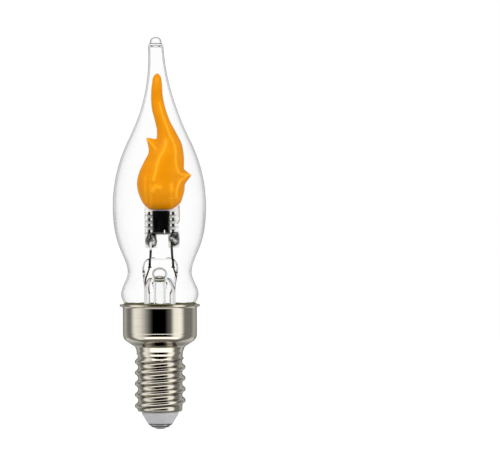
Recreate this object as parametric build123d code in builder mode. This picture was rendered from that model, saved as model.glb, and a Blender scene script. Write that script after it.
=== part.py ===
from build123d import *
from math import atan2, pi, tan
import os

# Clear candle lamp with a moulded flame, on a skirted E12 screw base.
# Millimetres, +Z up, front towards -Y. The origin is the middle of the centre contact's flat,
# and heights are stacked from there: contact, insulator, thread, neck, shoulder, skirt, glass.

# Centre contact and insulator
contact_height = 1.05
contact_diameter = 5.3
contact_rim = 0.2
contact_dome_diameter = 4.5
button_height = 0.25
button_diameter = 2.3
button_flat = 1.2
insulator_height = 2.85
insulator_foot_diameter = 5.5
insulator_diameter = 8.4
insulator_band = 0.45
insulator_throat_diameter = 7.4
insulator_grip_diameter = 9.2
insulator_grip = 1.2
insulator_edge = 0.12

# Screw shell, skirt and flared lip
shell_wall = 0.3
thread_major = 11.7
thread_minor = 10.4
thread_pitch = 2.54
thread_length = 12.9
thread_runout = 1.2
first_crest = 2.66
crest_clearance = 0.1
lip_radius = 0.9
neck_diameter = 11.4
neck_height = 2.1
shoulder_height = 1.8
skirt_diameter = 17.0
skirt_height = 7.9
flange_diameter = 18.4
flange_height = 0.85
flange_edge = 0.4
bend_radius = 0.45

# Glass envelope, heights above the flange
glass_wall = 0.6
neck_depth = 5.6
glass_neck_diameter = 15.6
glass_neck_top = -1.0
foot_diameter = 17.75
foot_height = 2.3
waist_diameter = 14.65
waist_height = 7.4
flank_diameter = 18.2
flank_height = 12.9
flank_slope = 0.4
belly_diameter = 21.4
belly_height = 22.4
taper_diameter = 14.1
taper_height = 37.8
tip_diameter = 3.5
tip_height = 59.3
tip_wall = 0.5
tip_lean = 0.7
lean_height = 43.5
lean_power = 1.3
nipple_diameter = 2.8
nipple_step = 0.75

# Glass stem
stem_diameter = 7.2
stem_wall = 0.65
flare_height = 3.6
flare_rim = 0.8
flare_slope = 0.5
seal_gap = 0.2
press_root = 3.4
press_width = 8.2
press_depth = 3.6
press_middle = 8.0
press_shoulder = 9.75
press_shoulder_width = 7.7
press_shoulder_depth = 3.25
press_top = 10.6
press_top_width = 6.6
press_top_depth = 2.6
saddle_depth = 0.55
exhaust_diameter = 2.8
exhaust_wall = 0.5
exhaust_length = 19.0
bulge_diameter = 3.4

# Wires
mount_shift = 0.4
lead_diameter = 0.55
lead_spacing = 4.8
lead_foot_spacing = 5.1
lead_tail = 2.3
lead_gap = 0.1
knot_diameter = 0.8
seal_diameter = 0.35
seal_spacing = 4.84
seal_drop = 1.0
tail_diameter = 0.36
tail_sweep = 2.5
wire_hole = 0.8
wire_bend = 1.2
side_joint_diameter = 1.5

# Driver board and its parts, heights above the flange
board_shift = 0.65
board_width = 8.05
board_thickness = 0.8
board_foot = 13.0
board_corner = 0.35
board_shoulder = 22.8
notch_width = 2.65
notch_height = 3.0
tongue_width = 4.8
tongue_top_width = 2.4
tongue_bend = 6.5
tongue_height = 14.5
tongue_sway = 1.1
chip_width = 3.9
chip_length = 5.3
chip_thickness = 1.4
chip_foot = 16.2
chip_stand_off = 0.1
chip_bevel = 0.18
pins_per_side = 4
pin_pitch = 1.35
pin_width = 0.45
pin_reach = 1.15
pin_knee = 0.46
pin_thickness = 0.18
pin_rise = 0.75
pad_length = 1.4
pad_width = 0.8
pad_thickness = 0.12
block_width = 4.0
block_length = 4.7
block_thickness = 1.5
block_pin_pitch = 2.5
resistor_length = 1.6
resistor_width = 0.85
resistor_thickness = 0.45
led_width = 0.55
led_length = 0.95
led_thickness = 0.3
led_pitch_x = 1.1
led_pitch_z = 2.4
led_rows = 5
led_foot = 2.2
joint_diameter = 2.5
joint_height = 1.05
joint_foot = 1.5

# Flame, with its outline as shares of these three sizes
flame_foot = 21.8
flame_height = 31.25
flame_width = 11.1
flame_depth = 7.2

# Smallest difference between two places
touch = 0.01

# Heights of the stack
shell_z = contact_height + insulator_height
neck_z = shell_z + thread_length
shoulder_z = neck_z + neck_height
skirt_z = shoulder_z + shoulder_height
rim_z = skirt_z + skirt_height
seal_z = rim_z - neck_depth
tip_z = rim_z + tip_height
taper_z = rim_z + taper_height
flame_z = rim_z + flame_foot
board_z = rim_z + board_foot
press_z = rim_z + press_root
board_face = board_thickness / 2
exhaust_end_z = press_z - exhaust_length

os.makedirs("parts", exist_ok=True)


def finish(piece, label):
    """Label one finished piece and write it."""
    piece.label = label
    export_step(piece, f"parts/{label}.step")


def round_wire(points, diameter, bend):
    """Bent round wire through the given points."""
    with BuildPart() as wire:
        with BuildLine() as path:
            if len(points) > 2:
                FilletPolyline(*points, radius=bend)
            else:
                Line(*points)
        with BuildSketch(Plane(origin=path.line @ 0, z_dir=path.line % 0)):
            Circle(diameter / 2)
        sweep(path=path.line)
    return wire.part


# Screw shell: a round rod whose centre circles the axis as it rises makes the rolled thread

thread_mean_radius = (thread_major + thread_minor) / 4
thread_throw = (thread_major - thread_minor) / 4
thread_start = shell_z + first_crest - 2 * thread_pitch


def threaded_rod(radius, trim):
    """Rolled thread of the given mean radius, trimmed by a turned profile."""
    rise = neck_z + thread_pitch - thread_start
    with BuildPart() as rod:
        with BuildLine() as path:
            Helix(thread_pitch, rise, thread_throw, center=(0, 0, thread_start))
        with BuildSketch(Plane.XY.offset(thread_start)):
            with Locations((thread_throw, 0)):
                Circle(radius)
        sweep(path=path.line, normal=(0, 0, 1))
        # The trim is drawn on YZ, so that its seam stays clear of the rod's seam on XZ
        with BuildSketch(Plane.YZ):
            with BuildLine():
                Polyline(*trim, close=True)
            make_face()
            lip = [v for v in vertices() if v.Y < trim[1][1] + touch and v.X > radius]
            fillet(lip, lip_radius - (thread_mean_radius - radius))
        revolve(axis=Axis.Z, mode=Mode.INTERSECT)
    return rod.part


def shell_profile(inset):
    """Corners of the neck, shoulder, skirt and flared lip, drawn inward of the outer face."""
    neck = neck_diameter / 2 - inset
    skirt = skirt_diameter / 2 - inset
    flange = flange_diameter / 2 - inset
    shoulder_angle = atan2(shoulder_height, skirt - neck)
    slope_shift = inset * tan(pi / 4 - shoulder_angle / 2)
    return [
        (thread_minor / 2 - inset - shell_wall, neck_z - thread_runout),
        (neck, neck_z),
        (neck, shoulder_z + slope_shift),
        (skirt, skirt_z + slope_shift),
        (skirt, rim_z - flange_height),
        (flange, rim_z - flange_edge + inset),
        (flange, rim_z + inset),
    ]


def shell_body(inset):
    """Solid inside one face of the shell: its thread, neck, shoulder, skirt and lip."""
    crest = thread_major / 2 + crest_clearance - inset
    neck = neck_diameter / 2 - inset
    low = shell_z + inset
    trim = [
        (0, low),
        (crest, low),
        (crest, neck_z - thread_runout),
        (neck, neck_z),
        (neck, neck_z + bend_radius),
        (0, neck_z + bend_radius),
    ]
    with BuildPart() as body:
        add(threaded_rod(thread_mean_radius - inset, trim))
        with BuildSketch(Plane.XZ):
            corners = shell_profile(inset)
            low, top = corners[0], corners[-1]
            with BuildLine():
                FilletPolyline(*corners, radius=bend_radius)
                Polyline(top, (0, top[1]), (0, low[1]), low)
            make_face()
        revolve(axis=Axis.Z)
    return body.part


with BuildPart() as base_shell:
    add(shell_body(0))
    add(shell_body(shell_wall), mode=Mode.SUBTRACT)
    with Locations((0, 0, shell_z)):
        Cylinder(insulator_throat_diameter / 2, 4 * shell_wall, mode=Mode.SUBTRACT)
finish(base_shell.part, "base_shell")

# Glass insulator, fused through the hole in the shell's floor

with BuildPart() as base_insulator:
    floor_z = shell_z + shell_wall
    with BuildSketch(Plane.XZ):
        with BuildLine():
            Polyline(
                (wire_hole / 2, contact_height),
                (insulator_foot_diameter / 2, contact_height),
                (insulator_diameter / 2, shell_z - insulator_band),
                (insulator_diameter / 2, shell_z),
                (insulator_throat_diameter / 2, shell_z),
                (insulator_throat_diameter / 2, floor_z),
                (insulator_grip_diameter / 2, floor_z),
                (insulator_grip_diameter / 2, floor_z + insulator_grip),
                (wire_hole / 2, floor_z + insulator_grip),
                close=True,
            )
        make_face()
        outer_low = [v for v in vertices() if v.X > wire_hole and v.Y < shell_z - touch]
        fillet(outer_low, insulator_edge)
    revolve(axis=Axis.Z)
finish(base_insulator.part, "base_insulator")

# Centre contact plate and its solder button

with BuildPart() as contact_plate:
    rim_low = contact_height - contact_rim
    with BuildSketch(Plane.XZ):
        with BuildLine():
            Polyline(
                (button_diameter / 2, button_height),
                (wire_hole / 2, button_height),
                (wire_hole / 2, contact_height),
                (contact_diameter / 2, contact_height),
                (contact_diameter / 2, rim_low),
                (contact_dome_diameter / 2, rim_low),
            )
            RadiusArc(
                (contact_dome_diameter / 2, rim_low),
                (button_diameter / 2, button_height),
                contact_dome_diameter / 2,
            )
        make_face()
    revolve(axis=Axis.Z)
finish(contact_plate.part, "contact_plate")

with BuildPart() as contact_solder:
    with BuildSketch(Plane.XZ):
        with BuildLine():
            Polyline(
                (button_flat / 2, 0),
                (0, 0),
                (0, button_height),
                (button_diameter / 2, button_height),
            )
            RadiusArc((button_diameter / 2, button_height), (button_flat / 2, 0), button_diameter / 2)
        make_face()
    revolve(axis=Axis.Z)
finish(contact_solder.part, "contact_solder")

# Blown envelope: a turned lower body and a lofted tip that leans to one side


def lean_at(z):
    """Sideways place of the glass axis at a height."""
    reach = max(0, z - rim_z - lean_height) / (tip_height - lean_height)
    return -tip_lean * reach ** lean_power


def tip_radius(share):
    """Outer radius along the drawn-out tip, a parabola that ends upright."""
    start, end = taper_diameter / 2, tip_diameter / 2
    return end + (start - end) * (1 - share) ** 2


def envelope_body(inset, low_z):
    """Solid inside one face of the glass, from the neck to the end of the tip."""
    tip_inset = min(inset, tip_wall)
    end_slope = (taper_diameter - tip_diameter) / (tip_height - taper_height)
    # Each place: diameter, height above the flange and outward slope
    places = [
        (glass_neck_diameter, glass_neck_top, 0),
        (foot_diameter, foot_height, 0),
        (waist_diameter, waist_height, 0),
        (flank_diameter, flank_height, flank_slope),
        (belly_diameter, belly_height, 0),
        (taper_diameter, taper_height, -end_slope),
    ]
    curve = [((diameter / 2 - inset, rim_z + height), (slope, 1)) for diameter, height, slope in places]
    stations = [0, 0.06, 0.14, 0.26, 0.42, 0.6, 0.8, 1]
    with BuildPart() as body:
        with BuildSketch(Plane.XZ):
            with BuildLine():
                for (low, low_slope), (high, high_slope) in zip(curve, curve[1:]):
                    Spline(low, high, tangents=[low_slope, high_slope])
                start, end = curve[0][0], curve[-1][0]
                Polyline(end, (0, taper_z), (0, low_z), (start[0], low_z), start)
            make_face()
        revolve(axis=Axis.Z)
        for share in stations:
            z = taper_z + share * (tip_z - taper_z)
            with BuildSketch(Plane.XY.offset(z)):
                with Locations((lean_at(z), 0)):
                    Circle(tip_radius(share) - inset + (inset - tip_inset) * share)
        loft()
    return body.part


with BuildPart() as glass_envelope:
    add(envelope_body(0, seal_z))
    with Locations((lean_at(tip_z), 0, tip_z)):
        Cone(tip_diameter / 2, nipple_diameter / 2, nipple_step,
             align=(Align.CENTER, Align.CENTER, Align.MIN))
    with Locations((lean_at(tip_z), 0, tip_z + nipple_step)):
        Sphere(nipple_diameter / 2)
    add(envelope_body(glass_wall, seal_z), mode=Mode.SUBTRACT)
finish(glass_envelope.part, "glass_envelope")

# Wires: leads on the board's front, thin wires through the press, tails into the base


def lead_places(side):
    """Top, bend, press entry and knot of one upper lead."""
    top_x = mount_shift + side * lead_spacing / 2
    foot_x = mount_shift + side * lead_foot_spacing / 2
    front = -board_face - lead_gap - lead_diameter / 2
    knot_z = rim_z + press_top - lead_tail
    return [
        (top_x, front, board_z + joint_foot + lead_diameter),
        (top_x, front, board_z - lead_diameter),
        (foot_x, 0, rim_z + press_top),
        (foot_x, 0, knot_z),
    ]


def seal_places(side):
    """Knot and lower end of one thin wire in the glass press."""
    knot = lead_places(side)[-1]
    return [(knot[0], 0, knot[2] - knot_diameter / 3), (side * seal_spacing / 2, 0, press_z - seal_drop)]


wires = {}
for name, side in (("left", -1), ("right", 1)):
    seal = round_wire(seal_places(side), seal_diameter, wire_bend)
    with BuildPart() as lead:
        add(round_wire(lead_places(side), lead_diameter, wire_bend))
        with Locations(lead_places(side)[-1]):
            Sphere(knot_diameter / 2)
        add(seal, mode=Mode.SUBTRACT)
    wires[name] = (lead.part, seal)
    finish(lead.part, f"lead_wire_{name}")
    finish(seal, f"seal_wire_{name}")

tail_x = seal_spacing / 2
tail_top = press_z - seal_drop
bend_z = exhaust_end_z - exhaust_wall
with BuildPart() as tail_wire_centre:
    add(round_wire(
        [
            (tail_x, 0, tail_top),
            (tail_x, 0, bend_z),
            (0, 0, bend_z - tail_sweep),
            (0, 0, button_height),
        ],
        tail_diameter,
        wire_bend,
    ))
    add(wires["right"][1], mode=Mode.SUBTRACT)
finish(tail_wire_centre.part, "tail_wire_centre")

neck_inner = neck_diameter / 2 - shell_wall
side_x = neck_inner - tail_diameter
with BuildPart() as tail_wire_side:
    add(round_wire(
        [
            (-tail_x, 0, tail_top),
            (-tail_x, 0, seal_z),
            (-side_x, 0, shoulder_z - tail_diameter),
            (-side_x, 0, neck_z + tail_diameter),
        ],
        tail_diameter,
        wire_bend,
    ))
    add(wires["left"][1], mode=Mode.SUBTRACT)
finish(tail_wire_side.part, "tail_wire_side")

with BuildPart() as side_solder:
    with Locations((-neck_inner, 0, neck_z + neck_height / 2)):
        Sphere(side_joint_diameter / 2)
    with Locations((0, 0, neck_z)):
        Cylinder(neck_inner, neck_height + side_joint_diameter,
                 align=(Align.CENTER, Align.CENTER, Align.MIN), mode=Mode.INTERSECT)
    add(tail_wire_side.part, mode=Mode.SUBTRACT)
finish(side_solder.part, "side_solder")

# Glass stem: flared foot under the envelope's neck, round tube, flat press around the wires

with BuildPart() as stem_tube:
    tube = stem_diameter / 2
    bore = tube - stem_wall
    neck_out = glass_neck_diameter / 2
    neck_in = neck_out - glass_wall
    flare_top = seal_z + flare_height
    rim_low = seal_z - flare_rim
    flare_tangents = [(0, -1), (1, -flare_slope)]
    with BuildSketch(Plane.XZ):
        with BuildLine():
            Line((tube, press_z), (tube, flare_top))
            Spline((tube, flare_top), (neck_in - seal_gap, seal_z), tangents=flare_tangents)
            Polyline(
                (neck_in - seal_gap, seal_z),
                (neck_out, seal_z),
                (neck_out, rim_low),
                (0, rim_low),
                (0, press_z),
                (tube, press_z),
            )
        make_face()
    revolve(axis=Axis.Z)
    press_sections = [
        (press_z, stem_diameter, stem_diameter),
        (rim_z + (press_root + press_middle) / 2, (stem_diameter + press_width) / 2,
         (stem_diameter + press_depth) / 2),
        (rim_z + press_middle, press_width, press_depth),
        (rim_z + press_shoulder, press_shoulder_width, press_shoulder_depth),
        (rim_z + press_top, press_top_width, press_top_depth),
    ]
    for z, width, depth in press_sections:
        with BuildSketch(Plane.XY.offset(z)):
            Ellipse(width / 2, depth / 2)
    loft()
    saddle = press_top_width / 2
    saddle_radius = (saddle ** 2 + saddle_depth ** 2) / (2 * saddle_depth)
    with Locations(Plane((0, 0, rim_z + press_top - saddle_depth + saddle_radius), z_dir=(0, 1, 0))):
        Cylinder(saddle_radius, 2 * press_depth, mode=Mode.SUBTRACT)
    with BuildSketch(Plane.XZ):
        with BuildLine():
            Line((bore, press_z), (bore, flare_top - stem_wall))
            Spline((bore, flare_top - stem_wall), (neck_in - stem_wall - seal_gap, rim_low),
                   tangents=flare_tangents)
            Polyline((neck_in - stem_wall - seal_gap, rim_low), (0, rim_low), (0, press_z), (bore, press_z))
        make_face()
    revolve(axis=Axis.Z, mode=Mode.SUBTRACT)
    with Locations((0, 0, press_z + bulge_diameter / 2 + exhaust_wall)):
        Sphere(bulge_diameter / 2, mode=Mode.SUBTRACT)
    with Locations((0, 0, press_z)):
        Cylinder(exhaust_diameter / 2 - exhaust_wall, bulge_diameter, mode=Mode.SUBTRACT)
    for lead, seal in wires.values():
        add(lead, mode=Mode.SUBTRACT)
        add(seal, mode=Mode.SUBTRACT)
finish(stem_tube.part, "stem_tube")

with BuildPart() as exhaust_tube:
    outer = exhaust_diameter / 2
    inner = outer - exhaust_wall
    with BuildSketch(Plane.XZ):
        with BuildLine():
            Polyline((outer, exhaust_end_z + outer), (outer, press_z), (inner, press_z),
                     (inner, exhaust_end_z + outer))
            RadiusArc((inner, exhaust_end_z + outer), (0, exhaust_end_z + outer - inner), inner)
            Line((0, exhaust_end_z + outer - inner), (0, exhaust_end_z))
            RadiusArc((0, exhaust_end_z), (outer, exhaust_end_z + outer), -outer)
        make_face()
    revolve(axis=Axis.Z)
finish(exhaust_tube.part, "exhaust_tube")

# Driver board: two legs with a notch between them, and a tongue that bends with the flame

with BuildPart() as driver_board:
    half = board_width / 2
    top_z = rim_z + board_shoulder
    with BuildSketch(Plane.XZ):
        with BuildLine():
            Polyline(
                (board_shift - half, board_z),
                (board_shift - notch_width / 2, board_z),
                (board_shift - notch_width / 2, board_z + notch_height),
                (board_shift + notch_width / 2, board_z + notch_height),
                (board_shift + notch_width / 2, board_z),
                (board_shift + half, board_z),
                (board_shift + half, top_z),
                (board_shift + tongue_width / 2, top_z),
                (board_shift + tongue_width / 2, top_z + tongue_bend),
                (board_shift + tongue_sway + tongue_top_width / 2, top_z + tongue_height),
                (board_shift + tongue_sway - tongue_top_width / 2, top_z + tongue_height),
                (board_shift - tongue_width / 2, top_z + tongue_bend),
                (board_shift - tongue_width / 2, top_z),
                (board_shift - half, top_z),
                close=True,
            )
        make_face()
        outer_corners = [v for v in vertices() if abs(v.X - board_shift) > half - touch]
        fillet(outer_corners, board_corner)
    extrude(amount=board_face, both=True)
finish(driver_board.part, "driver_board")

# Front chip with its pins and pads, and the four-pin block on the back


def gull_pins(x, half_width, face, outward, heights):
    """Bent flat pins on both sides of a chip, standing on a face whose outside is outward."""
    with BuildPart() as pins:
        for side in (-1, 1):
            for z in heights:
                foot = Plane((x + side * half_width, face, z), x_dir=(side, 0, 0),
                             z_dir=(0, 0, side * outward))
                with BuildSketch(foot):
                    with BuildLine():
                        Polyline(
                            (0, pin_rise),
                            (pin_knee, pin_rise),
                            (pin_knee + pin_thickness, pin_thickness),
                            (pin_reach, pin_thickness),
                            (pin_reach, 0),
                            (pin_knee, 0),
                            (pin_knee - pin_thickness, pin_rise - pin_thickness),
                            (0, pin_rise - pin_thickness),
                            close=True,
                        )
                    make_face()
                extrude(amount=pin_width / 2, both=True)
    return pins.part


def chip_body(width, length, thickness, face, outward, middle_z):
    """Moulded chip with bevelled outer edges, standing on a face whose outside is outward."""
    with BuildPart() as body:
        with BuildSketch(Plane((mount_shift, face, middle_z), x_dir=(1, 0, 0), z_dir=(0, outward, 0))):
            Rectangle(width, length)
        extrude(amount=thickness)
        outer_face = body.faces().sort_by(Axis.Y)[0 if outward < 0 else -1]
        chamfer(outer_face.edges(), chip_bevel)
    return body.part


chip_z = rim_z + chip_foot + chip_length / 2
pin_row_middle = (pins_per_side - 1) / 2
pin_heights = [chip_z + (row - pin_row_middle) * pin_pitch for row in range(pins_per_side)]
pad_face = -board_face - pad_thickness
driver_ic = chip_body(chip_width, chip_length, chip_thickness, pad_face - chip_stand_off, -1, chip_z)
finish(driver_ic, "driver_ic")
finish(gull_pins(mount_shift, chip_width / 2, pad_face, -1, pin_heights), "ic_pins")

with BuildPart() as solder_pads:
    pad_x = chip_width / 2 + pin_knee + pad_length / 2 - pin_thickness
    for z in pin_heights:
        with BuildSketch(Plane((mount_shift, -board_face, z), x_dir=(1, 0, 0), z_dir=(0, -1, 0))):
            with Locations((-pad_x, 0), (pad_x, 0)):
                RectangleRounded(pad_length, pad_width, pad_width / 4)
    extrude(amount=pad_thickness)
finish(solder_pads.part, "solder_pads")

block_heights = [chip_z - block_pin_pitch / 2, chip_z + block_pin_pitch / 2]
bridge_rectifier = chip_body(block_width, block_length, block_thickness, board_face + chip_stand_off, 1,
                             chip_z)
finish(bridge_rectifier, "bridge_rectifier")
finish(gull_pins(mount_shift, block_width / 2, board_face, 1, block_heights), "rectifier_pins")

leg_offset = (board_width + notch_width) / 4
with BuildPart() as chip_resistors:
    for side in (-1, 1):
        place = (board_shift + side * leg_offset, board_face, board_z + joint_foot)
        with BuildSketch(Plane(place, x_dir=(1, 0, 0), z_dir=(0, 1, 0))):
            Rectangle(resistor_width, resistor_length)
    extrude(amount=resistor_thickness)
finish(chip_resistors.part, "chip_resistors")

with BuildPart() as led_chips:
    led_z = rim_z + board_shoulder + led_foot + (led_rows - 1) * led_pitch_z / 2
    for outward in (-1, 1):
        face = Plane((board_shift + tongue_sway / 2, outward * board_face, led_z), x_dir=(1, 0, 0),
                     z_dir=(0, outward, 0))
        with BuildSketch(face):
            with GridLocations(led_pitch_x, led_pitch_z, 2, led_rows):
                Rectangle(led_width, led_length)
        extrude(amount=led_thickness)
finish(led_chips.part, "led_chips")

# Solder joints of the leads, round caps on the front of the board's legs

joint_reach = joint_diameter / 2
cap_radius = (joint_reach ** 2 + joint_height ** 2) / (2 * joint_height)
for name, side in (("left", -1), ("right", 1)):
    with BuildPart() as joint:
        joint_place = (board_shift + side * leg_offset, -board_face, board_z + joint_foot)
        with Locations(Location(joint_place)):
            with Locations((0, cap_radius - joint_height, 0)):
                Sphere(cap_radius)
        split(bisect_by=Plane(joint_place, z_dir=(0, -1, 0)), keep=Keep.TOP)
        add(wires[name][0], mode=Mode.SUBTRACT)
    finish(joint.part, f"solder_joint_{name}")

# Flame: an S-shaped tongue with a lick on each side, moulded over the board's tongue

# Each level: height, left edge, right edge and depth
tongue_levels = [
    (0, -0.49, 0.45, 0.36),
    (0.032, -0.69, 0.72, 0.64),
    (0.096, -0.89, 0.91, 0.89),
    (0.192, -1.0, 0.99, 1.0),
    (0.288, -0.87, 0.955, 0.94),
    (0.39, -0.54, 0.95, 0.8),
    (0.477, -0.25, 0.87, 0.65),
    (0.566, -0.16, 0.63, 0.5),
    (0.646, -0.24, 0.39, 0.42),
    (0.739, -0.37, 0.205, 0.36),
    (0.838, -0.395, 0.08, 0.32),
    (0.931, -0.34, 0.04, 0.25),
    (0.986, -0.235, -0.03, 0.14),
    (1, -0.17, -0.1, 0.05),
]
left_lick_levels = [
    (0.147, -0.9, -0.25, 0.47),
    (0.269, -0.91, -0.22, 0.5),
    (0.352, -0.7, -0.04, 0.45),
    (0.422, -0.51, 0.02, 0.36),
    (0.474, -0.54, -0.13, 0.26),
    (0.506, -0.585, -0.38, 0.15),
    (0.525, -0.612, -0.56, 0.04),
]
# Each station: sideways place, lower edge, upper edge and depth
right_lick_stations = [
    (0.72, 0.147, 0.304, 0.45),
    (0.955, 0.176, 0.294, 0.32),
    (1.1, 0.211, 0.274, 0.18),
    (1.26, 0.246, 0.253, 0.03),
]
half_flame = flame_width / 2


def flame_levels(levels):
    """Loft through level ellipses."""
    with BuildPart() as body:
        for height, left, right, depth in levels:
            with BuildSketch(Plane.XY.offset(flame_z + height * flame_height)):
                with Locations((mount_shift + (left + right) / 2 * half_flame, 0)):
                    Ellipse((right - left) / 2 * half_flame, depth * flame_depth / 2)
        loft()
    return body.part


with BuildPart() as right_lick:
    for place, low, high, depth in right_lick_stations:
        station = Plane((mount_shift + place * half_flame, 0, flame_z + (low + high) / 2 * flame_height),
                        x_dir=(0, 1, 0), z_dir=(1, 0, 0))
        with BuildSketch(station):
            Ellipse(depth * flame_depth / 2, (high - low) / 2 * flame_height)
    loft()

with BuildPart() as flame_diffuser:
    add(flame_levels(tongue_levels))
    add(flame_levels(left_lick_levels))
    add(right_lick.part)
    add(driver_board.part, mode=Mode.SUBTRACT)
    add(led_chips.part, mode=Mode.SUBTRACT)
finish(flame_diffuser.part, "flame_diffuser")

# Cement between the envelope's neck and the skirt

with BuildPart() as basing_cement:
    cement_low = seal_z + flare_rim
    cement_top = rim_z - bend_radius
    with Locations((0, 0, cement_low)):
        Cylinder(skirt_diameter / 2, cement_top - cement_low, align=(Align.CENTER, Align.CENTER, Align.MIN))
    add(envelope_body(0, seal_z - flare_rim), mode=Mode.SUBTRACT)
    add(base_shell.part, mode=Mode.SUBTRACT)
finish(basing_cement.part, "basing_cement")
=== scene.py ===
import math

import bpy
import numpy as np
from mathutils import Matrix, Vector


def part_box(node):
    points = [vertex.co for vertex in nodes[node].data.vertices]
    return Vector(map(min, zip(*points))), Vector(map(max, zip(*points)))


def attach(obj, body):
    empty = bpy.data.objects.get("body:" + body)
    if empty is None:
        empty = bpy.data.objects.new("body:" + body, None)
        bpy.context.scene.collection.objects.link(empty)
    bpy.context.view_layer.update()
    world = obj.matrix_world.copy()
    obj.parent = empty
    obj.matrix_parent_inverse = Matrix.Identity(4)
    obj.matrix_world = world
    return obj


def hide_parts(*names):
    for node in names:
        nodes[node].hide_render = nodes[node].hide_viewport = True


# Clear candle bulb with an orange flame inside, on a plated screw base, in front of white.
# Shapes are drawn in millimetres, +Z up, front towards -Y, and become metres in add_piece().

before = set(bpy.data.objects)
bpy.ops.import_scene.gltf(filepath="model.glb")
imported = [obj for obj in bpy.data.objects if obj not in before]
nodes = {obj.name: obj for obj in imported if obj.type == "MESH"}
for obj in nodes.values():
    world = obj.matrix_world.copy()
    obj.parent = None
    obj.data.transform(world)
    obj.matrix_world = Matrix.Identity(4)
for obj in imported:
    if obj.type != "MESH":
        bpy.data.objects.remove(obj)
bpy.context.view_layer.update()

MM = 0.001
BODY = "root"
# Small clearance between pieces that touch, and between rows of points that meet
GAP = 0.02


def box_mm(node):
    """Lowest and highest corner of a node, in millimetres."""
    low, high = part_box(node)
    return low / MM, high / MM


# Heights and sizes taken from the frame
shell_low, shell_high = box_mm("base_shell")
flame_low, flame_high = box_mm("flame_diffuser")
board_low, board_high = box_mm("driver_board")
chip_low, chip_high = box_mm("driver_ic")
shell_z = shell_low.z
rim_z = shell_high.z
seal_z = box_mm("glass_envelope")[0].z
stem_z = box_mm("stem_tube")[0].z
pads_y = box_mm("solder_pads")[0].y
board_front = board_low.y
chip_x = (chip_low.x + chip_high.x) / 2
chip_z = (chip_low.z + chip_high.z) / 2


# Node trees


class Tree:
    """Short calls that add nodes to one node tree and join them."""

    def __init__(self, tree):
        self.tree = tree
        tree.nodes.clear()

    def join(self, output, socket):
        self.tree.links.new(output, socket)

    def add(self, kind, inputs=None, **settings):
        node = self.tree.nodes.new(kind)
        for key, value in settings.items():
            setattr(node, key, value)
        for key, value in (inputs or {}).items():
            if isinstance(value, bpy.types.NodeSocket):
                self.join(value, node.inputs[key])
            else:
                node.inputs[key].default_value = value
        return node

    def math(self, operation, first, second=0.0):
        return self.add("ShaderNodeMath", {0: first, 1: second}, operation=operation).outputs[0]

    def times(self, first, second):
        return self.math("MULTIPLY", first, second)

    def plus(self, first, second):
        return self.math("ADD", first, second)

    def step(self, value, low, high):
        """Smooth step from 0 at low to 1 at high."""
        inputs = {"Value": value, "From Min": low, "From Max": high}
        return self.add("ShaderNodeMapRange", inputs, interpolation_type="SMOOTHSTEP").outputs[0]

    def spread(self, value, low, high):
        """Share from 0 to 1 turned into a value from low to high."""
        inputs = {"Value": value, "To Min": low, "To Max": high}
        return self.add("ShaderNodeMapRange", inputs).outputs[0]


# Materials

# Shares of the noise at which the dark and the light colour are full
GRAIN_ENDS = (0.3, 0.7)


def grained(name, dark, light, rough, grain, bump=0.0, stretch=(1, 1, 1), detail=4.0, **sockets):
    """Material whose colour, roughness and height vary with a noise of that grain in millimetres."""
    material = bpy.data.materials.new(name)
    material.use_nodes = True
    tree = Tree(material.node_tree)
    place = tree.add("ShaderNodeTexCoord").outputs["Object"]
    mapped = tree.add("ShaderNodeMapping", {"Vector": place, "Scale": stretch}).outputs["Vector"]
    noise = tree.add("ShaderNodeTexNoise", {"Vector": mapped, "Scale": 1 / (grain * MM), "Detail": detail})
    share = noise.outputs["Fac"]
    ramp = tree.add("ShaderNodeValToRGB", {"Fac": share})
    for element, end, colour in zip(ramp.color_ramp.elements, GRAIN_ENDS, (dark, light)):
        element.position = end
        element.color = (*colour, 1)
    inputs = {
        "Base Color": ramp.outputs["Color"],
        "Roughness": tree.spread(share, rough[0], rough[1]),
    }
    if bump:
        height = {"Height": share, "Distance": bump * MM, "Strength": 1.0}
        inputs["Normal"] = tree.add("ShaderNodeBump", height).outputs["Normal"]
    inputs.update({key.replace("_", " "): value for key, value in sockets.items()})
    shader = tree.add("ShaderNodeBsdfPrincipled", inputs)
    output = tree.add("ShaderNodeOutputMaterial", {"Surface": shader.outputs["BSDF"]})
    return material, tree, output


def recoloured(made, share, colour):
    """Grained material that turns to that colour by the share."""
    material, tree, output = made
    base = output.inputs["Surface"].links[0].from_node.inputs["Base Color"]
    inputs = {"Factor": share, "A": base.links[0].from_socket, "B": colour}
    tree.join(tree.add("ShaderNodeMix", inputs, data_type="RGBA").outputs["Result"], base)
    return material


def marked(made, attribute, colour):
    """Grained material that turns to that colour where the mesh's own attribute says so."""
    share = made[1].add("ShaderNodeAttribute", attribute_name=attribute).outputs["Fac"]
    return recoloured(made, share, colour)


def mark(piece, attribute, shares):
    """Share from 0 to 1 kept at each point of a piece's mesh."""
    layer = piece.data.attributes.new(attribute, "FLOAT", "POINT")
    layer.data.foreach_set("value", np.asarray(shares, dtype=np.float32))


# Painted shade as a grey line along the edges of glass, seen at a grazing angle: its tint, and the heights
# over which it widens
EDGE_SHADE_TINT = (0.15, 0.155, 0.16, 1)
TIP_LINE = (68, 89)
NIPPLE_LINE = (88.2, 88.6)
NIPPLE_EDGE = (0.1, 0.62)
# What the body of the glass takes from the light
GLASS_BODY = (0.72, 0.73, 0.74, 1)
GLASS_DENSITY = 30.0


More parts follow.
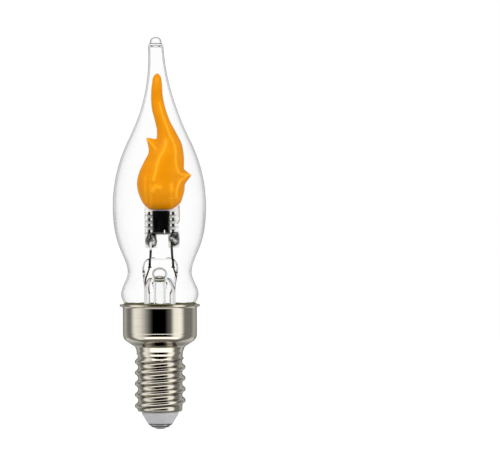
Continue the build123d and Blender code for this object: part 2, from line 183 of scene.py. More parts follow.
def glass(name, refraction, wave, edge, tip_edge):
    """Clear glass, a little wavy, with a grey line of painted shade along its edges that widens towards the
    tip.
    """
    made = grained(
        name, (0.99, 0.995, 0.99), (1, 1, 1), (0.0, 0.01), wave, 0.01, detail=1.0,
        IOR=refraction, Transmission_Weight=1.0, Specular_Tint=(0.1, 0.1, 0.1, 1))
    material, tree, output = made
    place = tree.add("ShaderNodeTexCoord").outputs["Object"]
    height = tree.add("ShaderNodeSeparateXYZ", {"Vector": place}).outputs["Z"]
    near_tip = tree.step(height, TIP_LINE[0] * MM, TIP_LINE[1] * MM)
    nipple = tree.step(height, NIPPLE_LINE[0] * MM, NIPPLE_LINE[1] * MM)
    start, full = (
        tree.spread(nipple, tree.spread(near_tip, low, high), last)
        for low, high, last in zip(edge, tip_edge, NIPPLE_EDGE))
    # Painted shade at grazing angles, and where the edge attribute says so
    grazing = tree.add("ShaderNodeLayerWeight", {"Blend": 0.5}).outputs["Facing"]
    shaded = tree.add("ShaderNodeAttribute", attribute_name="edge").outputs["Fac"]
    recoloured(made, tree.math("MAXIMUM", tree.step(grazing, start, full), shaded), EDGE_SHADE_TINT)
    body = tree.add("ShaderNodeVolumeAbsorption", {"Color": GLASS_BODY, "Density": GLASS_DENSITY})
    tree.join(body.outputs["Volume"], output.inputs["Volume"])
    return material


envelope_glass = glass("envelope_glass", 1.25, 9.0, (0.82, 1.0), (0.42, 0.76))
stem_glass = glass("stem_glass", 1.4, 3.0, (0.8, 1.0), (0.8, 1.0))
# Orange silicone, lighter along the folds' crests as a painted highlight
flame_silicone = marked(grained(
    "flame_silicone", (0.695, 0.236, 0.0004), (0.765, 0.268, 0.0007), (0.16, 0.26), 2.5, 0.02,
    Specular_IOR_Level=0.12, Subsurface_Weight=0.06, Subsurface_Radius=(1.0, 0.4, 0.1),
    Subsurface_Scale=0.5 * MM), "ridge_highlight", (0.93, 0.39, 0.012, 1))
# Nickel plating, darkened by painted shade on the shoulder, the bottom rim and the thread's sides
nickel_plate = marked(grained(
    "nickel_plate", (0.84, 0.785, 0.667), (0.95, 0.895, 0.77), (0.01, 0.045), 0.6, 0.0003,
    (0.12, 0.12, 2.5), Metallic=1.0), "shell_shade", (0.16, 0.145, 0.12, 1))
# Contact metal with a dark line of painted shade where the rim attribute says so
contact_metal = marked(grained(
    "contact_metal", (0.62, 0.61, 0.59), (0.8, 0.78, 0.75), (0.03, 0.08), 0.3, 0.004, Metallic=1.0),
    "rim", (0.015, 0.015, 0.014, 1))
# Solder of the joints, with painted glints where the glint attribute says so
joint_solder = marked(grained(
    "joint_solder", (0.07, 0.068, 0.062), (0.4, 0.39, 0.38), (0.05, 0.14), 0.7, 0.05, Metallic=1.0),
    "glint", (0.97, 0.97, 0.95, 1))
# Insulator with painted shade along its foot, where it meets the contact plate
insulator_glass = marked(grained(
    "insulator_glass", (0.55, 0.55, 0.57), (0.61, 0.61, 0.63), (0.2, 0.32), 0.8, 0.01, IOR=1.5),
    "rim", (0.03, 0.03, 0.032, 1))
# Black moulding, with a painted highlight along each chip's foot
chip_black = marked(grained(
    "chip_black", (0.0006, 0.0006, 0.0006), (0.0018, 0.0018, 0.0018), (0.2, 0.28), 0.12,
    Specular_IOR_Level=0.04), "foot_highlight", (0.05, 0.05, 0.05, 1))

# Plain materials: dark and light colour, roughness from and to, grain, bump, metal share, stretch upwards
PLAIN = {
    "solder": ((0.36, 0.36, 0.35), (0.66, 0.66, 0.64), (0.05, 0.16), 0.35, 0.008, 1.0, 1.0),
    "lead_wire": ((0.03, 0.026, 0.022), (0.1, 0.09, 0.08), (0.22, 0.4), 0.3, 0.01, 1.0, 0.15),
    "tail_metal": ((0.5, 0.48, 0.47), (0.64, 0.62, 0.61), (0.2, 0.35), 0.3, 0.01, 0.2, 0.15),
    "copper_wire": ((0.08, 0.022, 0.014), (0.24, 0.075, 0.045), (0.25, 0.4), 0.25, 0.01, 1.0, 0.2),
    "board_white": ((0.9, 0.9, 0.89), (0.96, 0.96, 0.95), (0.3, 0.42), 0.35, 0.01, 0.0, 1.0),
    "board_edge": ((0.22, 0.14, 0.08), (0.36, 0.24, 0.14), (0.5, 0.7), 0.2, 0.02, 0.0, 1.0),
    "pin_tin": ((0.93, 0.93, 0.92), (0.99, 0.99, 0.98), (0.2, 0.32), 0.2, 0.01, 0.0, 1.0),
    "pad_tin": ((0.38, 0.37, 0.34), (0.52, 0.51, 0.47), (0.2, 0.32), 0.2, 0.01, 0.0, 1.0),
    # Near-black pin roots: painted shade round the knees
    "pin_root_shade": ((0.03, 0.03, 0.03), (0.1, 0.1, 0.095), (0.08, 0.2), 0.2, 0.01, 1.0, 1.0),
    "pin_drop": ((0.82, 0.82, 0.8), (0.95, 0.95, 0.93), (0.1, 0.2), 0.2, 0.01, 0.25, 1.0),
    "resistor_body": ((0.02, 0.02, 0.022), (0.05, 0.05, 0.055), (0.3, 0.45), 0.15, 0.01, 0.0, 1.0),
    "led_body": ((0.75, 0.62, 0.2), (0.85, 0.72, 0.3), (0.3, 0.4), 0.2, 0.01, 0.0, 1.0),
    # Dark ring of painted shade at the tip's seam
    "seam_shade_glass": ((0.12, 0.12, 0.122), (0.2, 0.2, 0.205), (0.2, 0.35), 0.3, 0.005, 0.0, 1.0),
    # Dark ring of painted shade in the stem's throat
    "throat_shade_glass": ((0.16, 0.15, 0.1), (0.3, 0.28, 0.2), (0.1, 0.2), 0.4, 0.005, 0.0, 1.0),
    "cement": ((0.07, 0.063, 0.025), (0.14, 0.125, 0.06), (0.7, 0.9), 0.4, 0.06, 0.0, 1.0),
}
plain = {
    name: grained(name, dark, light, rough, grain, bump, (1, 1, stretch), Metallic=metal)[0]
    for name, (dark, light, rough, grain, bump, metal, stretch) in PLAIN.items()
}


# Meshes: a skin is a list of points in millimetres and a list of faces

# Fineness of the round meshes
TURNED = 200
THIN = 20
# Longest part of a straight run that the curve at its end may take up
BEND_SHARE = 0.48


def add_piece(name, skin, material, slot, *replaced, crease=40):
    """New piece from a skin, carried by the body in place of the named nodes."""
    verts, faces = skin
    mesh = bpy.data.meshes.new(name)
    mesh.from_pydata((np.asarray(verts, dtype=float) * MM).tolist(), [], faces)
    mesh.polygons.foreach_set("use_smooth", [True] * len(mesh.polygons))
    mesh.set_sharp_from_angle(angle=math.radians(crease))
    piece = bpy.data.objects.new(name, mesh)
    bpy.context.collection.objects.link(piece)
    mesh.materials.append(material)
    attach(piece, BODY)
    if replaced:
        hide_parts(*replaced)
    return piece


def turns(count):
    """Even turns about an axis, in radians."""
    return [2 * math.pi * index / count for index in range(count)]


def quarter(steps, first=0):
    """Even angles up to a quarter turn."""
    return [math.pi / 2 * index / steps for index in range(first, steps + 1)]


def arc(radius, z, wide, high, steps, first=0):
    """Quarter round of a profile, from below a height outwards and up to it."""
    return [(radius + wide * math.sin(angle), z - high * math.cos(angle)) for angle in quarter(steps, first)]


def hump(value, middle, width):
    """Smooth bump: 1 at the middle and near 0 two widths away."""
    return np.exp(-(((value - middle) / width) ** 2))


def hermite(low, high, low_slope, high_slope, width, share):
    """Smooth curve from low to high over a width, with a slope at each end."""
    return (low * (1 + 2 * share) * (1 - share) ** 2 + high * share ** 2 * (3 - 2 * share)
            + low_slope * width * share * (1 - share) ** 2 - high_slope * width * share ** 2 * (1 - share))


def band(first, first_count, second, second_count):
    """Faces between two rings of points, of which one may be a single point."""
    faces = []
    count = max(first_count, second_count)
    for index in range(count):
        after = (index + 1) % count
        corners = (first + index % first_count, first + after % first_count,
                   second + after % second_count, second + index % second_count)
        faces.append(tuple(dict.fromkeys(corners)))
    return faces


def loft(rings, closed=False):
    """Skin over rings in order, the last joined to the first where closed."""
    verts, starts = [], []
    for points in rings:
        starts.append(len(verts))
        verts.extend(points)
    pairs = list(zip(range(len(rings) - 1), range(1, len(rings))))
    if closed:
        pairs.append((len(rings) - 1, 0))
    faces = []
    for low, high in pairs:
        faces.extend(band(starts[low], len(rings[low]), starts[high], len(rings[high])))
    return verts, faces


def capped(rings):
    """Skin over rings, closed at both ends by their middle points."""
    low, high = (np.mean(np.array(end), axis=0).tolist() for end in (rings[0], rings[-1]))
    return loft([[low]] + rings + [[high]])


def joined(*skins):
    """Several skins as one."""
    verts, faces = [], []
    for skin_verts, skin_faces in skins:
        shift = len(verts)
        verts.extend(skin_verts)
        faces.extend([tuple(index + shift for index in face) for face in skin_faces])
    return verts, faces


def oval(wide, deep, z, x=0.0, count=TURNED):
    """Level oval of that half width and half depth."""
    return [(x + wide * math.cos(turn), deep * math.sin(turn), z) for turn in turns(count)]


def ring(radius, z, x=0.0, count=TURNED):
    """Round ring about the axis, or its middle point where the radius is nothing."""
    return oval(radius, radius, z, x, count) if radius > 0 else [(x, 0.0, z)]


def turned(profile, count=TURNED, closed=True):
    """Skin of a profile of radius and height turned about the axis."""
    return loft([ring(radius, z, count=count) for radius, z in profile], closed)


def hoop(radius, z, x, width, around=12, count=64):
    """Skin of a level round ring of round section."""
    half = width / 2
    section = [(radius + half * math.cos(turn), z + half * math.sin(turn)) for turn in turns(around)]
    return loft([ring(out, up, x, count) for out, up in section], closed=True)


def rounded(points, bends, steps=5):
    """Open path with its inner corners replaced by short curves, each of its own reach or all of one."""
    points = [Vector(point) for point in points]
    path = [points[0]]
    if isinstance(bends, (int, float)):
        bends = [bends] * (len(points) - 2)
    for before, corner, after, reach in zip(points, points[1:], points[2:], bends):
        start, end = (
            corner + (other - corner).normalized() * min(reach, (other - corner).length * BEND_SHARE)
            for other in (before, after))
        for index in range(steps + 1):
            share = index / steps
            path.append(start * (1 - share) ** 2 + corner * 2 * share * (1 - share) + end * share ** 2)
    path.append(points[-1])
    return [tuple(point) for point in path]


def between(path, longest):
    """Path with points added so that no run is longer than that."""
    filled = [path[0]]
    for low, high in zip(path, path[1:]):
        low, high = np.array(low), np.array(high)
        runs = max(1, math.ceil(np.linalg.norm(high - low) / longest))
        filled.extend(tuple(low + (high - low) * index / runs) for index in range(1, runs + 1))
    return filled


def smooth_row(rows, count):
    """Rows of numbers filled in to that many by a smooth curve over the first column."""
    rows = np.array(rows, dtype=float)
    slopes = np.gradient(rows, rows[:, 0], axis=0)
    result = []
    for place in np.linspace(rows[0, 0], rows[-1, 0], count):
        low = min(int(np.searchsorted(rows[:, 0], place, side="right")) - 1, len(rows) - 2)
        width = rows[low + 1, 0] - rows[low, 0]
        share = (place - rows[low, 0]) / width
        result.append(hermite(rows[low], rows[low + 1], slopes[low], slopes[low + 1], width, share))
    return result


# Glass envelope

GLASS_WALL = 0.46
TIP_WALL = 0.3
TIP_LEAN = 0.7
LEAN_HEIGHT = 43.5
LEAN_POWER = 1.3
NECK_RADIUS = 7.8
TAPER_HEIGHT = 37.8
TAPER_RADIUS = 7.05
TIP_HEIGHT = 59.3
TIP_RADIUS = 1.75
# Each place: height above the rim, radius and outward slope
GLASS_PLACES = [
    (-1.0, NECK_RADIUS, 0.0),
    (2.3, 8.875, 0.0),
    (7.4, 7.325, 0.0),
    (12.9, 9.1, 0.4),
    (22.4, 10.7, 0.0),
    (TAPER_HEIGHT, TAPER_RADIUS, -2 * (TAPER_RADIUS - TIP_RADIUS) / (TIP_HEIGHT - TAPER_HEIGHT)),
]
# Sealed tip above the drawn-out end: radius and height
NIPPLE = [(1.6, 0.3), (1.46, 0.62), (1.32, 0.72), (1.33, 0.95), (1.29, 1.3), (1.14, 1.63), (0.86, 1.92),
          (0.47, 2.09), (0.2, 2.14), (0.0, 2.15)]
# Inner end of the hollow under the tip: radius and height, and how much painted shade darkens its glass
HOLLOW_END = [(0.0, -0.12), (0.3, -0.08), (0.6, 0.06), (0.84, 0.17), (1.05, 0.17), (1.22, 0.04), (1.34, -0.2)]
HOLLOW_SHADE = 0.3
# Line where the tip was sealed off, drawn as a dark ring of painted shade
SEAM_RISE = 0.6
SEAM_RADIUS = 1.38
SEAM_WIDTH = 0.2
GLASS_STEP = 0.3


def glass_radius(height):
    """Outer radius of the glass at a height above the rim."""
    if height >= TAPER_HEIGHT:
        share = (height - TAPER_HEIGHT) / (TIP_HEIGHT - TAPER_HEIGHT)
        return TIP_RADIUS + (TAPER_RADIUS - TIP_RADIUS) * (1 - share) ** 2
    for (low, low_radius, low_slope), (high, high_radius, high_slope) in zip(GLASS_PLACES, GLASS_PLACES[1:]):
        if low <= height < high:
            width = high - low
            return hermite(low_radius, high_radius, low_slope, high_slope, width, (height - low) / width)
    return NECK_RADIUS


def glass_lean(height):
    """Sideways place of the glass axis at a height above the rim."""
    reach = max(0.0, height - LEAN_HEIGHT) / (TIP_HEIGHT - LEAN_HEIGHT)
    return -TIP_LEAN * reach ** LEAN_POWER


def glass_inner(height):
    """Inner radius of the glass, with a wall that thins along the tip."""
    share = min(1.0, max(0.0, (height - TAPER_HEIGHT) / (TIP_HEIGHT - TAPER_HEIGHT)))
    return glass_radius(height) - GLASS_WALL + (GLASS_WALL - TIP_WALL) * share


def make_envelope():
    """Blown glass, from the end of its hollow down inside, round the neck and up outside."""
    heights = np.arange(seal_z - rim_z + GAP, TIP_HEIGHT, GLASS_STEP).tolist() + [TIP_HEIGHT]
    tip_x, tip_z = glass_lean(TIP_HEIGHT), rim_z + TIP_HEIGHT
    rings = [ring(radius, tip_z + rise, tip_x) for radius, rise in HOLLOW_END]
    for height in reversed(heights[:-2]):
        rings.append(ring(glass_inner(height), rim_z + height, glass_lean(height)))
    for height in heights:
        rings.append(ring(glass_radius(height), rim_z + height, glass_lean(height)))
    rings += [ring(radius, tip_z + rise, tip_x) for radius, rise in NIPPLE]
    skin = loft(rings)
    envelope = add_piece("envelope", skin, envelope_glass, "envelope_glass", "glass_envelope")
    # Painted shade on the glass at the end of the hollow
    shares = np.zeros(len(skin[0]))
    shares[:(len(HOLLOW_END) - 2) * TURNED] = HOLLOW_SHADE
    mark(envelope, "edge", shares)
    # Dark ring of painted shade at the sealed tip
    seam = hoop(SEAM_RADIUS, tip_z + SEAM_RISE, tip_x, SEAM_WIDTH)
    add_piece("tip_seam", seam, plain["seam_shade_glass"], "envelope_glass")


# Cement that shows between the glass and the lip of the shell

BEAD_OUT = 8.86
# Section from the glass outwards: share of the way out, and height above the rim
BEAD_SECTION = [(0.0, -0.5), (0.0, 0.2), (0.25, 0.17), (0.6, 0.04), (1.0, -0.14), (1.0, -0.5)]
# Waves of its top: height, number in a turn and start
BEAD_WAVES = [(0.05, 3, 0.6), (0.04, 7, 0.0), (0.03, 13, 0.0)]


def make_cement_bead():
    """Uneven bead of cement around the foot of the glass."""
    rings = []
    for share, rise in BEAD_SECTION:
        points = []
        for turn in turns(TURNED):
            height = rise
            if rise > 0:
                height += sum(high * math.sin(number * turn + start) for high, number, start in BEAD_WAVES)
            inner = glass_radius(height) + GAP / 2
            radius = inner + (BEAD_OUT - inner) * share
            points.append((radius * math.cos(turn), radius * math.sin(turn), rim_z + height))
        rings.append(points)
    add_piece("cement_bead", loft(rings, closed=True), plain["cement"], "cement", crease=60)


# Screw shell: a rolled thread whose round section circles the axis as it rises

SHELL_WALL = 0.3
SHELL_STEP = 0.25
THREAD_STEP = 0.1
THREAD_PITCH = 2.54
THREAD_CREST = 5.85
THREAD_ROOT = 5.1
THREAD_BLEND = 0.12
FIRST_CREST = 2.66
CREST_SHARE = 0.4
# Turns, counted from the first full crest, over which the thread begins, and the lip's room before that
THREAD_START = (-1.0, -0.55)
START_LIP = 0.12
LIP_RADIUS = 0.9
LIP_STEPS = 16
CREST_RADIUS = 5.95
THROAT_RADIUS = 3.7
FLOOR_RADIUS = 4.0
NECK_Z = shell_z + 12.9
RUNOUT = 1.4
NECK_FOOT = 5.12
# Waist of the neck: radius, how much it flares, and its ends above the neck's foot
NECK_WAIST = 5.27
WAIST_FLARE = 0.01
WAIST_LOW = 0.42
WAIST_HIGH = 0.94
NECK_OUT = 5.75
SHOULDER_Z = NECK_Z + 2.1
SKIRT_Z = SHOULDER_Z + 1.8
SKIRT_OUT = 8.5
FLANGE_OUT = 9.2
FLANGE_HEIGHT = 0.65
FLANGE_EDGE = 0.4
FLANGE_ROUND = 0.05
# Bends at both ends of the neck's waist, the shoulder, the skirt's foot and the lip
SHELL_BENDS = (0.08, 0.08, 0.18, 1.1, 0.28)
# Shallow groove round the skirt's foot
CREASE_Z = SKIRT_Z + 1.18
CREASE_HALF = 0.2
CREASE_DEPTH = 0.045
CREASE_STEPS = 6
# Painted shade that darkens the plating on the shoulder, at the bottom rim and on the thread's lower and
# upper side: strength, middle and width, in millimetres and for the sides in pitches from the crest
SHOULDER_SHADE = (0.9, SHOULDER_Z + 0.65, 0.65)
RIM_SHADE = (0.9, shell_z + 0.26, 0.2)
FLANKS_SHADE = [(0.9, -0.26, 0.12), (0.3, 0.24, 0.07)]
SHOULDER_FROM = SHOULDER_Z - 0.5
RIM_TO = shell_z + 0.6
FLANKS_TO = NECK_Z - 0.3


def soft_min(first, second):
    """Smaller of two values, with a rounded change between them."""
    share = min(1.0, max(0.0, 0.5 + 0.5 * (second - first) / THREAD_BLEND))
    return second + (first - second) * share - THREAD_BLEND * share * (1 - share)


def thread_place(turn, z):
    """Pitches from the nearest crest, and how far the thread has begun there."""
    rise = (z - shell_z - FIRST_CREST) / THREAD_PITCH - turn / (2 * math.pi)
    start, full = THREAD_START
    begun = min(1.0, max(0.0, (round(rise) + turn / (2 * math.pi) - start) / (full - start)))
    return rise - round(rise), begun * begun * (3 - 2 * begun)


def thread_radius(rise, begun):
    """Outer radius of the rolled thread: a round crest that runs into a wider round root."""
    away = abs(rise) * THREAD_PITCH
    half, depth = THREAD_PITCH / 2, THREAD_CREST - THREAD_ROOT
    share = CREST_SHARE if away < half * CREST_SHARE else 1 - CREST_SHARE
    arc = ((half * share) ** 2 + (depth * share) ** 2) / (2 * depth * share)
    if away < half * CREST_SHARE:
        height = depth - arc + math.sqrt(arc ** 2 - away ** 2)
    else:
        height = arc - math.sqrt(arc ** 2 - (half - away) ** 2)
    return THREAD_ROOT + height * begun


def shell_ring(limit, z, inset):
    """Ring of the thread kept inside the limit and outside the neck's lower end."""
    neck_share = (z - (NECK_Z - RUNOUT)) / RUNOUT
    neck_low = THREAD_ROOT - SHELL_WALL
    floor = neck_low + (NECK_FOOT - neck_low) * neck_share - inset
    points = []
    for turn in turns(TURNED):
        rise, begun = thread_place(turn, z)
        lip = limit - (CREST_RADIUS - THREAD_ROOT - START_LIP) * (1 - begun)
        radius = soft_min(thread_radius(rise, begun) - inset, lip - inset)
        if neck_share > 0:
            radius = -soft_min(-radius, -floor)
        points.append((radius * math.cos(turn), radius * math.sin(turn), z))
    return points


def shell_upper(inset):
    """Profile of the neck, shoulder, skirt and flared lip, one wall further in where inset."""
    slope = inset * math.tan(math.pi / 4 - math.atan2(SKIRT_Z - SHOULDER_Z, SKIRT_OUT - NECK_OUT) / 2)
    neck, skirt, flange = NECK_OUT - inset, SKIRT_OUT - inset, FLANGE_OUT - inset
    path = [
        (NECK_FOOT - inset, NECK_Z),
        (NECK_WAIST - inset, NECK_Z + WAIST_LOW),
        (NECK_WAIST + WAIST_FLARE - inset, NECK_Z + WAIST_HIGH),
        (neck, SHOULDER_Z + slope),
        (skirt, SKIRT_Z + slope),
        (skirt, rim_z - FLANGE_HEIGHT),
        (flange, rim_z - FLANGE_EDGE + inset),
    ]
    path = between(rounded(path, SHELL_BENDS, 10), SHELL_STEP)
    if inset:
        return path
    crease = []
    for index in range(-CREASE_STEPS, CREASE_STEPS + 1):
        share = index / CREASE_STEPS
        depth = CREASE_DEPTH * (1 + math.cos(math.pi * share)) / 2
        crease.append((skirt - depth, CREASE_Z + share * CREASE_HALF))
    low = [point for point in path if point[1] < crease[0][1] - GAP]
    high = [point for point in path if point[1] > crease[-1][1] + GAP]
    return low + crease + high


def plating_shade(x, y, z):
    """How much painted shade darkens the plating at a point of the shell."""
    def shade_at(value, place):
        return place[0] * hump(value, place[1], place[2])

    if SHOULDER_FROM < z < SKIRT_Z:
        return shade_at(z, SHOULDER_SHADE)
    if z < RIM_TO:
        return shade_at(z, RIM_SHADE)
    if z > FLANKS_TO:
        return 0.0
    rise, begun = thread_place(math.atan2(y, x) % (2 * math.pi), z)
    return sum(shade_at(rise, place) for place in FLANKS_SHADE) * begun


def make_shell():
    """Sheet shell: up outside from the hole in its floor to the lip, and down inside."""
    rows = np.arange(shell_z + LIP_RADIUS + THREAD_STEP, NECK_Z - GAP / 2, THREAD_STEP)

    def limit_at(z):
        share = max(0.0, (z - NECK_Z + RUNOUT) / RUNOUT)
        return CREST_RADIUS + (NECK_FOOT - CREST_RADIUS) * share

    lip = arc(CREST_RADIUS - LIP_RADIUS, shell_z + LIP_RADIUS, LIP_RADIUS, LIP_RADIUS, LIP_STEPS)
    outside = [ring(THROAT_RADIUS, shell_z), ring(FLOOR_RADIUS, shell_z)]
    outside += [shell_ring(limit, z, 0.0) for limit, z in lip]
    outside += [shell_ring(limit_at(z), z, 0.0) for z in rows]
    outside += [ring(radius, z) for radius, z in shell_upper(0.0)]
    outside += [ring(FLANGE_OUT, rim_z - FLANGE_EDGE / 2), ring(FLANGE_OUT - FLANGE_ROUND, rim_z)]
    inside = [ring(FLANGE_OUT - SHELL_WALL + FLANGE_ROUND, rim_z)]
    inside += [ring(radius, z) for radius, z in reversed(shell_upper(SHELL_WALL))]
    inside += [shell_ring(limit_at(z), z, SHELL_WALL) for z in reversed(rows)]
    inside.append(ring(THREAD_ROOT - LIP_RADIUS, shell_z + SHELL_WALL))
    inside.append(ring(THROAT_RADIUS, shell_z + SHELL_WALL))
    skin = loft(outside + inside, closed=True)
    shell = add_piece("screw_shell", skin, nickel_plate, "nickel_plate", "base_shell")
    # Painted shade kept at each point of the shell
    mark(shell, "shell_shade", [plating_shade(*point) for point in skin[0]])


# Insulator, contact plate and solder button

END_COUNT = 96
END_STEPS = 8
WIRE_HOLE = 0.4
INSULATOR_FOOT = 2.75
INSULATOR_TOP = 4.2
INSULATOR_EDGE = 0.45
INSULATOR_BEND = 0.14
INSULATOR_STEP = 0.12
# Width of the painted shade along the insulator's foot
INSULATOR_SHADE_WIDTH = 0.22
PLATE_EDGE = 0.2
PLATE_FLAT = 1.15
PLATE_DOME = 1.1
PLATE_LEDGE = 2.3
PLATE_BEND = 0.08
# Painted shade as a dark line on the plate: depth below its edge and width
PLATE_SHADE_DROP = 0.22
PLATE_SHADE_WIDTH = 0.19
BUTTON_FLAT = 0.6
BUTTON_TOP = 0.9


def make_base_end():
    """Turned pieces under the thread."""
    low, high = box_mm("base_insulator")
    throat, floor_top, under = THROAT_RADIUS - GAP, shell_z + SHELL_WALL + GAP, shell_z - GAP / 2
    body = rounded([(WIRE_HOLE, low.z), (INSULATOR_FOOT, low.z), (INSULATOR_TOP, shell_z - INSULATOR_EDGE),
                    (INSULATOR_TOP, under), (throat, under)], INSULATOR_BEND)
    body += [(throat, floor_top), (high.x, floor_top), (high.x, high.z), (WIRE_HOLE, high.z)]
    skin = turned(between(body, INSULATOR_STEP), END_COUNT)
    insulator = add_piece("insulator", skin, insulator_glass, "insulator_glass", "base_insulator")
    # Painted shade along the insulator's foot
    mark(insulator, "rim", [hump(z, low.z, INSULATOR_SHADE_WIDTH) for x, y, z in skin[0]])

    plate_x, _, plate_top = box_mm("contact_plate")[1]
    button_x, _, button_z = box_mm("contact_solder")[1]
    rim = plate_top - PLATE_EDGE
    dome = [(WIRE_HOLE, button_z), (PLATE_FLAT, button_z)]
    dome += arc(PLATE_FLAT, rim, PLATE_DOME, rim - button_z, END_STEPS, 1)
    edge = rounded([(PLATE_LEDGE, rim), (plate_x, rim), (plate_x, plate_top - GAP / 2),
                    (WIRE_HOLE, plate_top - GAP / 2)], PLATE_BEND, 4)
    skin = turned(dome + edge, END_COUNT)
    plate = add_piece("centre_contact_plate", skin, contact_metal, "contact_metal", "contact_plate")
    # Painted shade as a dark line on the plate
    mark(plate, "rim", [hump(z, rim - PLATE_SHADE_DROP, PLATE_SHADE_WIDTH) for x, y, z in skin[0]])

    button = [(0.0, 0.0), (BUTTON_FLAT, 0.0)]
    button += arc(BUTTON_FLAT, button_z, button_x - BUTTON_FLAT, button_z, END_STEPS, 1)
    button += [(BUTTON_TOP, button_z + GAP), (0.0, button_z + GAP)]
    skin = turned(button, 64, closed=False)
    add_piece("centre_solder_button", skin, joint_solder, "solder", "contact_solder")


# Flame: a swaying tongue with a lick on each side, pressed into soft folds

FLAME_X = 0.4
FLAME_HALF = 5.55
FLAME_DEPTH = flame_high.y - flame_low.y
FLAME_Z = flame_low.z
FLAME_HEIGHT = flame_high.z - flame_low.z
FLAME_GRAIN = 0.13
# Each level: height, left edge, right edge and depth, as shares of the flame's height, half width and depth
TONGUE = [
    (0, -0.49, 0.45, 0.36), (0.032, -0.69, 0.72, 0.64), (0.096, -0.89, 0.91, 0.89), (0.192, -1.0, 0.99, 1.0),
    (0.288, -0.87, 0.955, 0.94), (0.39, -0.54, 0.95, 0.8), (0.477, -0.25, 0.87, 0.65),
    (0.566, -0.16, 0.63, 0.5), (0.646, -0.24, 0.39, 0.42), (0.739, -0.37, 0.205, 0.36),
    (0.838, -0.4, 0.085, 0.32), (0.931, -0.355, 0.05, 0.27), (0.982, -0.28, -0.01, 0.18),
    (1, -0.19, -0.09, 0.06),
]
LEFT_LICK = [
    (0.147, -0.9, -0.25, 0.47), (0.269, -0.91, -0.22, 0.5), (0.352, -0.7, -0.04, 0.45),
    (0.422, -0.51, 0.02, 0.36), (0.474, -0.54, -0.03, 0.28), (0.505, -0.585, -0.07, 0.2),
    (0.519, -0.605, -0.26, 0.11), (0.527, -0.615, -0.56, 0.04),
]
# Each station: sideways place, lower edge, upper edge and depth
RIGHT_LICK = [
    (0.72, 0.147, 0.304, 0.45), (0.955, 0.176, 0.294, 0.32), (1.1, 0.211, 0.274, 0.18),
    (1.26, 0.246, 0.253, 0.03),
]
# Folds on the front and back: height and half width in millimetres, then places across and up
FOLDS = [
    (0.26, 0.24, [(0.25, 74.6), (0.7, 72.4), (1.3, 70.7), (1.9, 69.1), (2.5, 67.3), (3.2, 66.0), (3.7, 64.8),
                  (3.9, 63.4), (3.85, 61.7), (4.0, 60.3), (4.5, 58.8), (5.2, 58.3), (7.3, 58.2)]),
    # Small fold under the tip, there mostly for its painted highlight
    (0.16, 0.2, [(-0.8, 79.4), (-0.62, 80.4), (-0.3, 80.4), (-0.15, 79.4)]),
    (0.26, 0.32, [(1.55, 66.0), (1.5, 64.9), (0.85, 63.4), (0.05, 62.1), (-0.45, 60.5), (-0.7, 59.1),
                  (-1.25, 57.0)]),
    (0.26, 0.24, [(6.2, 58.0), (4.95, 57.0), (4.4, 55.8), (4.0, 54.6), (3.9, 53.1)]),
    (0.2, 0.3, [(-2.9, 66.6), (-1.75, 65.5), (-0.9, 64.2)]),
    (0.12, 0.35, [(-3.2, 57.5), (-3.25, 54.6), (-2.9, 52.0)]),
    (0.12, 0.35, [(-2.0, 56.0), (-1.95, 53.5), (-1.75, 51.2)]),
    (0.12, 0.35, [(3.0, 54.8), (2.95, 53.0), (2.75, 51.2)]),
    (0.2, 0.55, [(-1.5, 54.6), (-0.8, 55.5), (0.2, 55.3)]),
    (0.2, 0.45, [(2.9, 55.9), (3.0, 54.6)]),
    (0.14, 0.12, [(2.4, 52.8), (4.1, 52.9)]),
]
# Wider foot of each fold: share of its height and times its width
FOOT_SHARE = 0.4
FOOT_SPREAD = 4
# How soon a fold is full on a side that turns to the front or back
FOLD_FACING = 1.6
# Painted highlight on the folds: lift at which a crest has its full lighter colour, and how quickly the
# colour comes
RIDGE_HIGHLIGHT_FULL = 0.3
RIDGE_HIGHLIGHT_POWER = 1.5


def flame_rings(levels, count):
    """Level ovals of the flame."""
    return [
        oval((right - left) / 2 * FLAME_HALF, depth * FLAME_DEPTH / 2, FLAME_Z + height * FLAME_HEIGHT,
             FLAME_X + (left + right) / 2 * FLAME_HALF, 72)
        for height, left, right, depth in smooth_row(levels, count)]


def right_lick_rings(count):
    """Upright ellipses of the lick that points to the right."""
    rings = []
    for place, low, high, depth in smooth_row(RIGHT_LICK, count):
        x = FLAME_X + place * FLAME_HALF
        middle = FLAME_Z + (low + high) / 2 * FLAME_HEIGHT
        tall, deep = (high - low) / 2 * FLAME_HEIGHT, depth * FLAME_DEPTH / 2
        rings.append([(x, deep * math.cos(turn), middle + tall * math.sin(turn)) for turn in turns(48)])
    return rings


def distance_to_path(points, path):
    """Distance of each point from a path of straight runs, in the plane."""
    nearest = np.full(len(points), 1e9)
    for low, high in zip(np.array(path[:-1]), np.array(path[1:])):
        run = high - low
        share = np.clip(((points - low) @ run) / (run @ run), 0, 1)
        nearest = np.minimum(nearest, np.linalg.norm(points - low - share[:, None] * run, axis=1))
    return nearest


